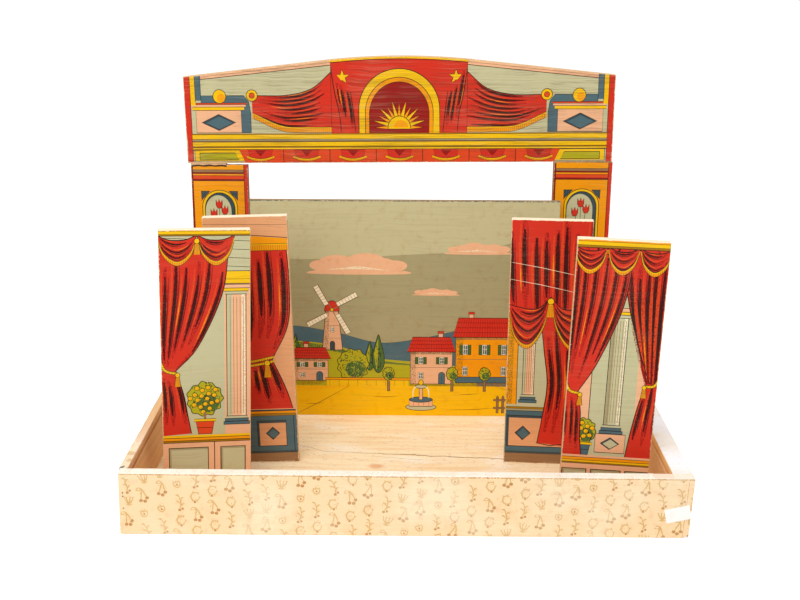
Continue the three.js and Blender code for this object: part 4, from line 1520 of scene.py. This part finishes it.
class THEATRE_OT_tray_wood(bpy.types.Operator):
    """Grain for the floor, and walls with rubbed edges"""

    bl_idname = "theatre.tray_wood"
    bl_label = "Tray wood"

    def execute(self, context):
        give("floor_board", pine_floor())
        walls = Walls()
        along_x, along_y = wall_wood("wall_wood_across", "x", walls), wall_wood("wall_wood_deep", "y", walls)
        corners = papers().left_corner, papers().right_corner
        for node, material, worn in (
            ("front_wall", along_x, corners), ("back_wall", along_x, ()),
            ("left_wall", along_y, ()), ("right_wall", along_y, ()),
        ):
            piece = rubbed_board(node, material, 0.8 * MM, worn)
            if node != "back_wall":
                walls.settle(piece.data)
            finish_piece(piece, "tray", "wall_wood", node)
        return {"FINISHED"}


class THEATRE_OT_tray_paper(bpy.types.Operator):
    """The patterned paper on the four walls, folded over the rims, with its torn ends"""

    bl_idname = "theatre.tray_paper"
    bl_label = "Tray paper"

    def execute(self, context):
        material = printed_paper("tray_paper", 0.15, 0.6, 0.2, papers().worn, 0.5, papers().pale)
        walls = Walls()
        for side, sheet in (("front", self.front), ("left", self.left), ("right", self.right)):
            walls.fold(sheet(walls), side, material, walls.top)
        walls.fold(self.back(walls), "back", material)
        return {"FINISHED"}

    @staticmethod
    def patterned(outline, seed, shift):
        """A sheet strewn with motifs."""
        art = Drawing(outline, papers().cream)
        (left, _), (right, top) = art.outline.min(0), art.outline.max(0)
        strewn(art, left, right, top, shift, seed)
        return art

    def front(self, walls):
        """The front's sheet, with worn lower corners, a gap in its fold near the right end and a lap there."""
        top, run = walls.top, walls.reach(walls.front_rim)
        start, end = walls.inner_right - 21, walls.inner_right
        left, right = papers().left_corner / MM, papers().right_corner / MM
        art = self.patterned([
            *arc(walls.left + left, walls.trim + left, left, None, 180, 270, 5),
            *arc(walls.right - right, walls.trim + right, right, None, 270, 360, 7),
            (walls.right, top), (walls.right, run), (end, run), (end, top + 0.7),
            *tear((end, top + 0.6), (start, top + 0.6), 7, 0.35, 5),
            (start, top + 0.8), (start - 1.2, top + 5), (start + 0.4, run),
            *tear((start, run - 0.4), (walls.left, run - 0.4), 60, 0.35, 6), (walls.left, run),
        ], 1, 4)
        rubbed_fold(art, top, 0.68, papers().worn)
        lap = walls.right - 6.5
        art.area([(lap, 0), (walls.right, 0), (walls.right, top), (lap + 0.8, top)], "peach", 0.25)
        art.brush([(lap, 0), (lap + 0.4, 30), (lap + 0.8, top)], [0.5, 0.6, 0.5], papers().berry, 0.6)
        art.brush([(start, top - 0.4), (end, top - 0.3)], [1.1, 0.8], "deep_red", 0.35)
        return art

    def left(self, walls):
        """The left wall's sheet, torn off along the rim behind."""
        top, run = walls.top, walls.reach(walls.left_rim)
        near, far = walls.left_run
        rim_start, torn = walls.front + walls.front_rim + 0.05, walls.front + 82
        outline = [
            (near, walls.trim), (far, walls.trim), (far, top - 0.7),
            *tear((far, top - 0.9), (torn, top - 0.9), 46, 0.4, 8),
            (torn + 1.5, top), *tear((torn + 1, top + 1), (torn - 3, run), 4, 0.9, 9),
            (torn - 3, run), (rim_start, run), (rim_start, top - 0.5), (near, top - 0.5),
        ]
        art = self.patterned([(-y, up) for y, up in reversed(outline)], 2, 9)
        rubbed_fold(art, top, 0.35, papers().worn)
        corner = art.at(-rim_start, top)
        corner.brush([(2, 1.5), (-2, 2.5), (-6, 4.5)], [3.6, 4.6, 1.6], "steel", 0.8)
        return art

    def right(self, walls):
        """The right wall's sheet, rubbed pale on the rim and painted whiter there as painted light."""
        top, run = walls.top, walls.reach(walls.right_rim)
        near, far = walls.right_run
        rim_start = walls.front + walls.front_rim + 0.05
        art = self.patterned([
            (near, walls.trim), (far, walls.trim), (far, run),
            *tear((far, run - 0.5), (rim_start, run - 0.5), 40, 0.45, 10),
            (rim_start, run), (rim_start, top - 0.5), (near, top - 0.5),
        ], 3, 2)
        # The right rim is painted almost white: rubbed paper, with painted light added.
        rubbed_fold(art, top, 0.94, papers().rim_wear_and_light)
        return art

    def back(self, walls):
        """The back wall's sheet, which isn't folded."""
        left, right = walls.back_span
        top = walls.back_top
        return self.patterned([
            (-right, walls.trim), (-left, walls.trim), (-left, top),
            *tear((-left, top - 0.4), (-right, top - 0.4), 60, 0.35, 11), (-right, top),
        ], 4, 6)


class THEATRE_OT_small_parts(bpy.types.Operator):
    """Iron for the brads, beech for the dowels and pegs, and plain paper for the sticker"""

    bl_idname = "theatre.small_parts"
    bl_label = "Small parts"

    def execute(self, context):
        iron, beech = rusted_iron(), board_wood("beech", "z", woods().beech, woods().wall_grain, 2.2, 0.5, 0.05)
        for node in frame["nodes"]:
            if "brad" in node:
                give(node, iron)
            elif node.endswith(("_dowel", "_peg")):
                give(node, beech)
        give("price_sticker", sticker_paper())
        return {"FINISHED"}


WINGS = {
    "wing_front_left": side_curtain,
    "wing_back_left": full_curtain,
    "wing_back_right": looped_curtain,
    "wing_front_right": parted_curtains,
}


class THEATRE_OT_boards(bpy.types.Operator):
    """Pale boards with rubbed edges for the wings, the arch and the backdrop"""

    bl_idname = "theatre.boards"
    bl_label = "Boards"

    def execute(self, context):
        plain, brown = (woods().board, woods().board_grain), (woods().pillar, woods().pillar_grain)
        sawn, torn_head = 301.5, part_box("left_pillar_print")[1].z / MM + 1.0
        wing = board_wood("wing_wood", "z", *plain, top=sawn, end=woods().end_grain)
        boards = {
            **dict.fromkeys(WINGS, wing),
            "backdrop": board_wood("backdrop_wood", "x", woods().ply, woods().ply_grain, 7.0),
            "pediment": board_wood("pediment_wood", "x", *plain),
            "left_pillar": board_wood("left_pillar_wood", "z", *brown, top=torn_head, end=shade("dcb48e")),
            "right_pillar": board_wood("right_pillar_wood", "z", *brown),
        }
        for node in frame["nodes"]:
            if node in boards:
                piece = rubbed_board(node, boards[node], 0.3 * MM if node == "backdrop" else None)
                if node == "left_pillar":
                    self.narrow(piece, *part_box(node))
                finish_piece(piece, body_of(node), "board_wood", node)
        return {"FINISHED"}

    @staticmethod
    def narrow(piece, low, high):
        """Wears the left pillar's board as its print is worn."""
        middle = (low + high) / 2
        for vertex in piece.data.vertices:
            across, _, up = (vertex.co - Vector((middle.x, 0, low.z))) / MM
            vertex.co.x += narrowed(across, up, (high.z - low.z) / MM) * MM


class THEATRE_OT_wing_prints(bpy.types.Operator):
    """The four wings' prints: red curtains, columns and plinths"""

    bl_idname = "theatre.wing_prints"
    bl_label = "Wing prints"

    def execute(self, context):
        material = printed_paper("wing_paper", 0.3, 0.8, 0.1, papers().backing)
        for wing, design in WINGS.items():
            pasted_print(f"{wing}_print", design, material, "wing_print")
        return {"FINISHED"}


class THEATRE_OT_arch_prints(bpy.types.Operator):
    """The prints of the two pillars and of the pediment"""

    bl_idname = "theatre.arch_prints"
    bl_label = "Arch prints"

    def execute(self, context):
        pillars = printed_paper("pillar_paper", 0.4, 0.9, 0.12, papers().backing)
        for node in ("left_pillar_print", "right_pillar_print"):
            pasted_print(node, pillar_front, pillars, "pillar_print")
        heavy = printed_paper("pediment_paper", 1.0, 1.0, 0.12, papers().backing)
        pasted_print("pediment_print", pediment_front, heavy, "pediment_print")
        return {"FINISHED"}


class THEATRE_OT_backdrop_print(bpy.types.Operator):
    """The backdrop's print: a village under a grey green sky"""

    bl_idname = "theatre.backdrop_print"
    bl_label = "Backdrop print"

    def execute(self, context):
        material = printed_paper("backdrop_paper", 0.25, 0.6, 0.25, papers().backing)
        pasted_print("backdrop_print", village, material, "backdrop_print")
        return {"FINISHED"}


class THEATRE_OT_stage(bpy.types.Operator):
    """The floor, the soft light and the camera"""

    bl_idname = "theatre.stage"
    bl_label = "Stage"

    def execute(self, context):
        stage = context.scene.theatre_stage
        self.floor(stage)
        self.light(context, stage)
        self.camera(context, stage)
        return {"FINISHED"}

    @staticmethod
    def floor(stage):
        """A wide floor, lifted towards white for the camera."""
        build = bmesh.new()
        bmesh.ops.create_grid(build, x_segments=1, y_segments=1, size=12.0)
        recipe = Recipe("stage_floor")
        plain = recipe.term("ShaderNodeBsdfDiffuse", None, {"Color": (*stage.floor, 1)})
        seen = recipe.term("ShaderNodeLightPath", None, None, 0)
        white = recipe.term("ShaderNodeEmission", None, {"Color": (1, 1, 1, 1), "Strength": seen * stage.glow})
        both = recipe.term("ShaderNodeAddShader", None, {0: plain, 1: white})
        recipe.node("ShaderNodeOutputMaterial", None, {0: both})
        shown(mesh_of(build, "stage_floor"), "stage_floor", recipe.material)

    @staticmethod
    def light(context, stage):
        """An even white sky, which the camera sees at full strength, and two lamps."""
        world = bpy.data.worlds.new("soft_light")
        context.scene.world = world
        world.use_nodes = True
        nodes, links = world.node_tree.nodes, world.node_tree.links
        nodes.clear()
        path = nodes.new("ShaderNodeLightPath")
        strength = nodes.new("ShaderNodeMapRange")
        strength.inputs["To Min"].default_value = stage.sky_light
        strength.inputs["To Max"].default_value = 1.0
        links.new(path.outputs["Is Camera Ray"], strength.inputs["Value"])
        background = nodes.new("ShaderNodeBackground")
        links.new(strength.outputs[0], background.inputs["Strength"])
        background.inputs["Color"].default_value = (1, 1, 1, 1)
        out = nodes.new("ShaderNodeOutputWorld")
        links.new(background.outputs[0], out.inputs[0])
        for name, place, power, size in (
            ("key", (-1.0, -2.7, 1.6), stage.key_power, 1.6),
            ("top", (-0.3, -0.6, 2.3), stage.top_power, 1.5),
        ):
            lamp = bpy.data.lights.new(name, "AREA")
            lamp.energy, lamp.size = power, size
            holder = bpy.data.objects.new(name, lamp)
            holder.location = place
            holder.rotation_euler = (Vector((0, 0, 0.15)) - Vector(place)).to_track_quat("-Z", "Y").to_euler()
            context.scene.collection.objects.link(holder)

    @staticmethod
    def camera(context, stage):
        """The camera of the view from the front."""
        data = bpy.data.cameras.new("camera")
        data.lens, data.sensor_width = stage.lens, 36.0
        data.clip_start, data.clip_end = 0.05, 60.0
        level = Vector((math.cos(stage.yaw), math.sin(stage.yaw), 0))
        ahead = Vector((-level.y, level.x, 0)) * math.cos(stage.pitch) - Vector((0, 0, math.sin(stage.pitch)))
        upright = level.cross(ahead)
        right = level * math.cos(stage.roll) + upright * math.sin(stage.roll)
        up = upright * math.cos(stage.roll) - level * math.sin(stage.roll)
        holder = bpy.data.objects.new("camera", data)
        context.scene.collection.objects.link(holder)
        holder.matrix_world = axes_at(right, up, -ahead, stage.viewpoint)
        context.scene.camera = holder
        context.scene.view_settings.view_transform = "Standard"


OPERATORS = (
    THEATRE_OT_tray_wood,
    THEATRE_OT_tray_paper,
    THEATRE_OT_small_parts,
    THEATRE_OT_boards,
    THEATRE_OT_wing_prints,
    THEATRE_OT_arch_prints,
    THEATRE_OT_backdrop_print,
    THEATRE_OT_stage,
)
GROUPS = {
    "theatre_inks": TheatreInks,
    "theatre_papers": TheatrePapers,
    "theatre_woods": TheatreWoods,
    "theatre_stage": TheatreStage,
}


class THEATRE_PT_panel(bpy.types.Panel):
    """The theatre's operators and settings"""

    bl_idname = "THEATRE_PT_panel"
    bl_label = "Toy theatre"
    bl_space_type = "VIEW_3D"
    bl_region_type = "UI"
    bl_category = "Theatre"

    def draw(self, context):
        for operator in OPERATORS:
            self.layout.operator(operator.bl_idname)
        for group in GROUPS:
            settings = getattr(context.scene, group)
            box = self.layout.box()
            box.label(text=settings.bl_rna.description)
            for name in type(settings).__annotations__:
                box.prop(settings, name)


def register():
    for group, kind in GROUPS.items():
        bpy.utils.register_class(kind)
        setattr(bpy.types.Scene, group, PointerProperty(type=kind))
    for kind in (*OPERATORS, THEATRE_PT_panel):
        bpy.utils.register_class(kind)


def unregister():
    for kind in (THEATRE_PT_panel, *reversed(OPERATORS)):
        bpy.utils.unregister_class(kind)
    for group, kind in GROUPS.items():
        delattr(bpy.types.Scene, group)
        bpy.utils.unregister_class(kind)


def main():
    register()
    for operator in OPERATORS:
        family, name = operator.bl_idname.split(".")
        getattr(getattr(bpy.ops, family), name)()


if __name__ == "__main__":
    main()
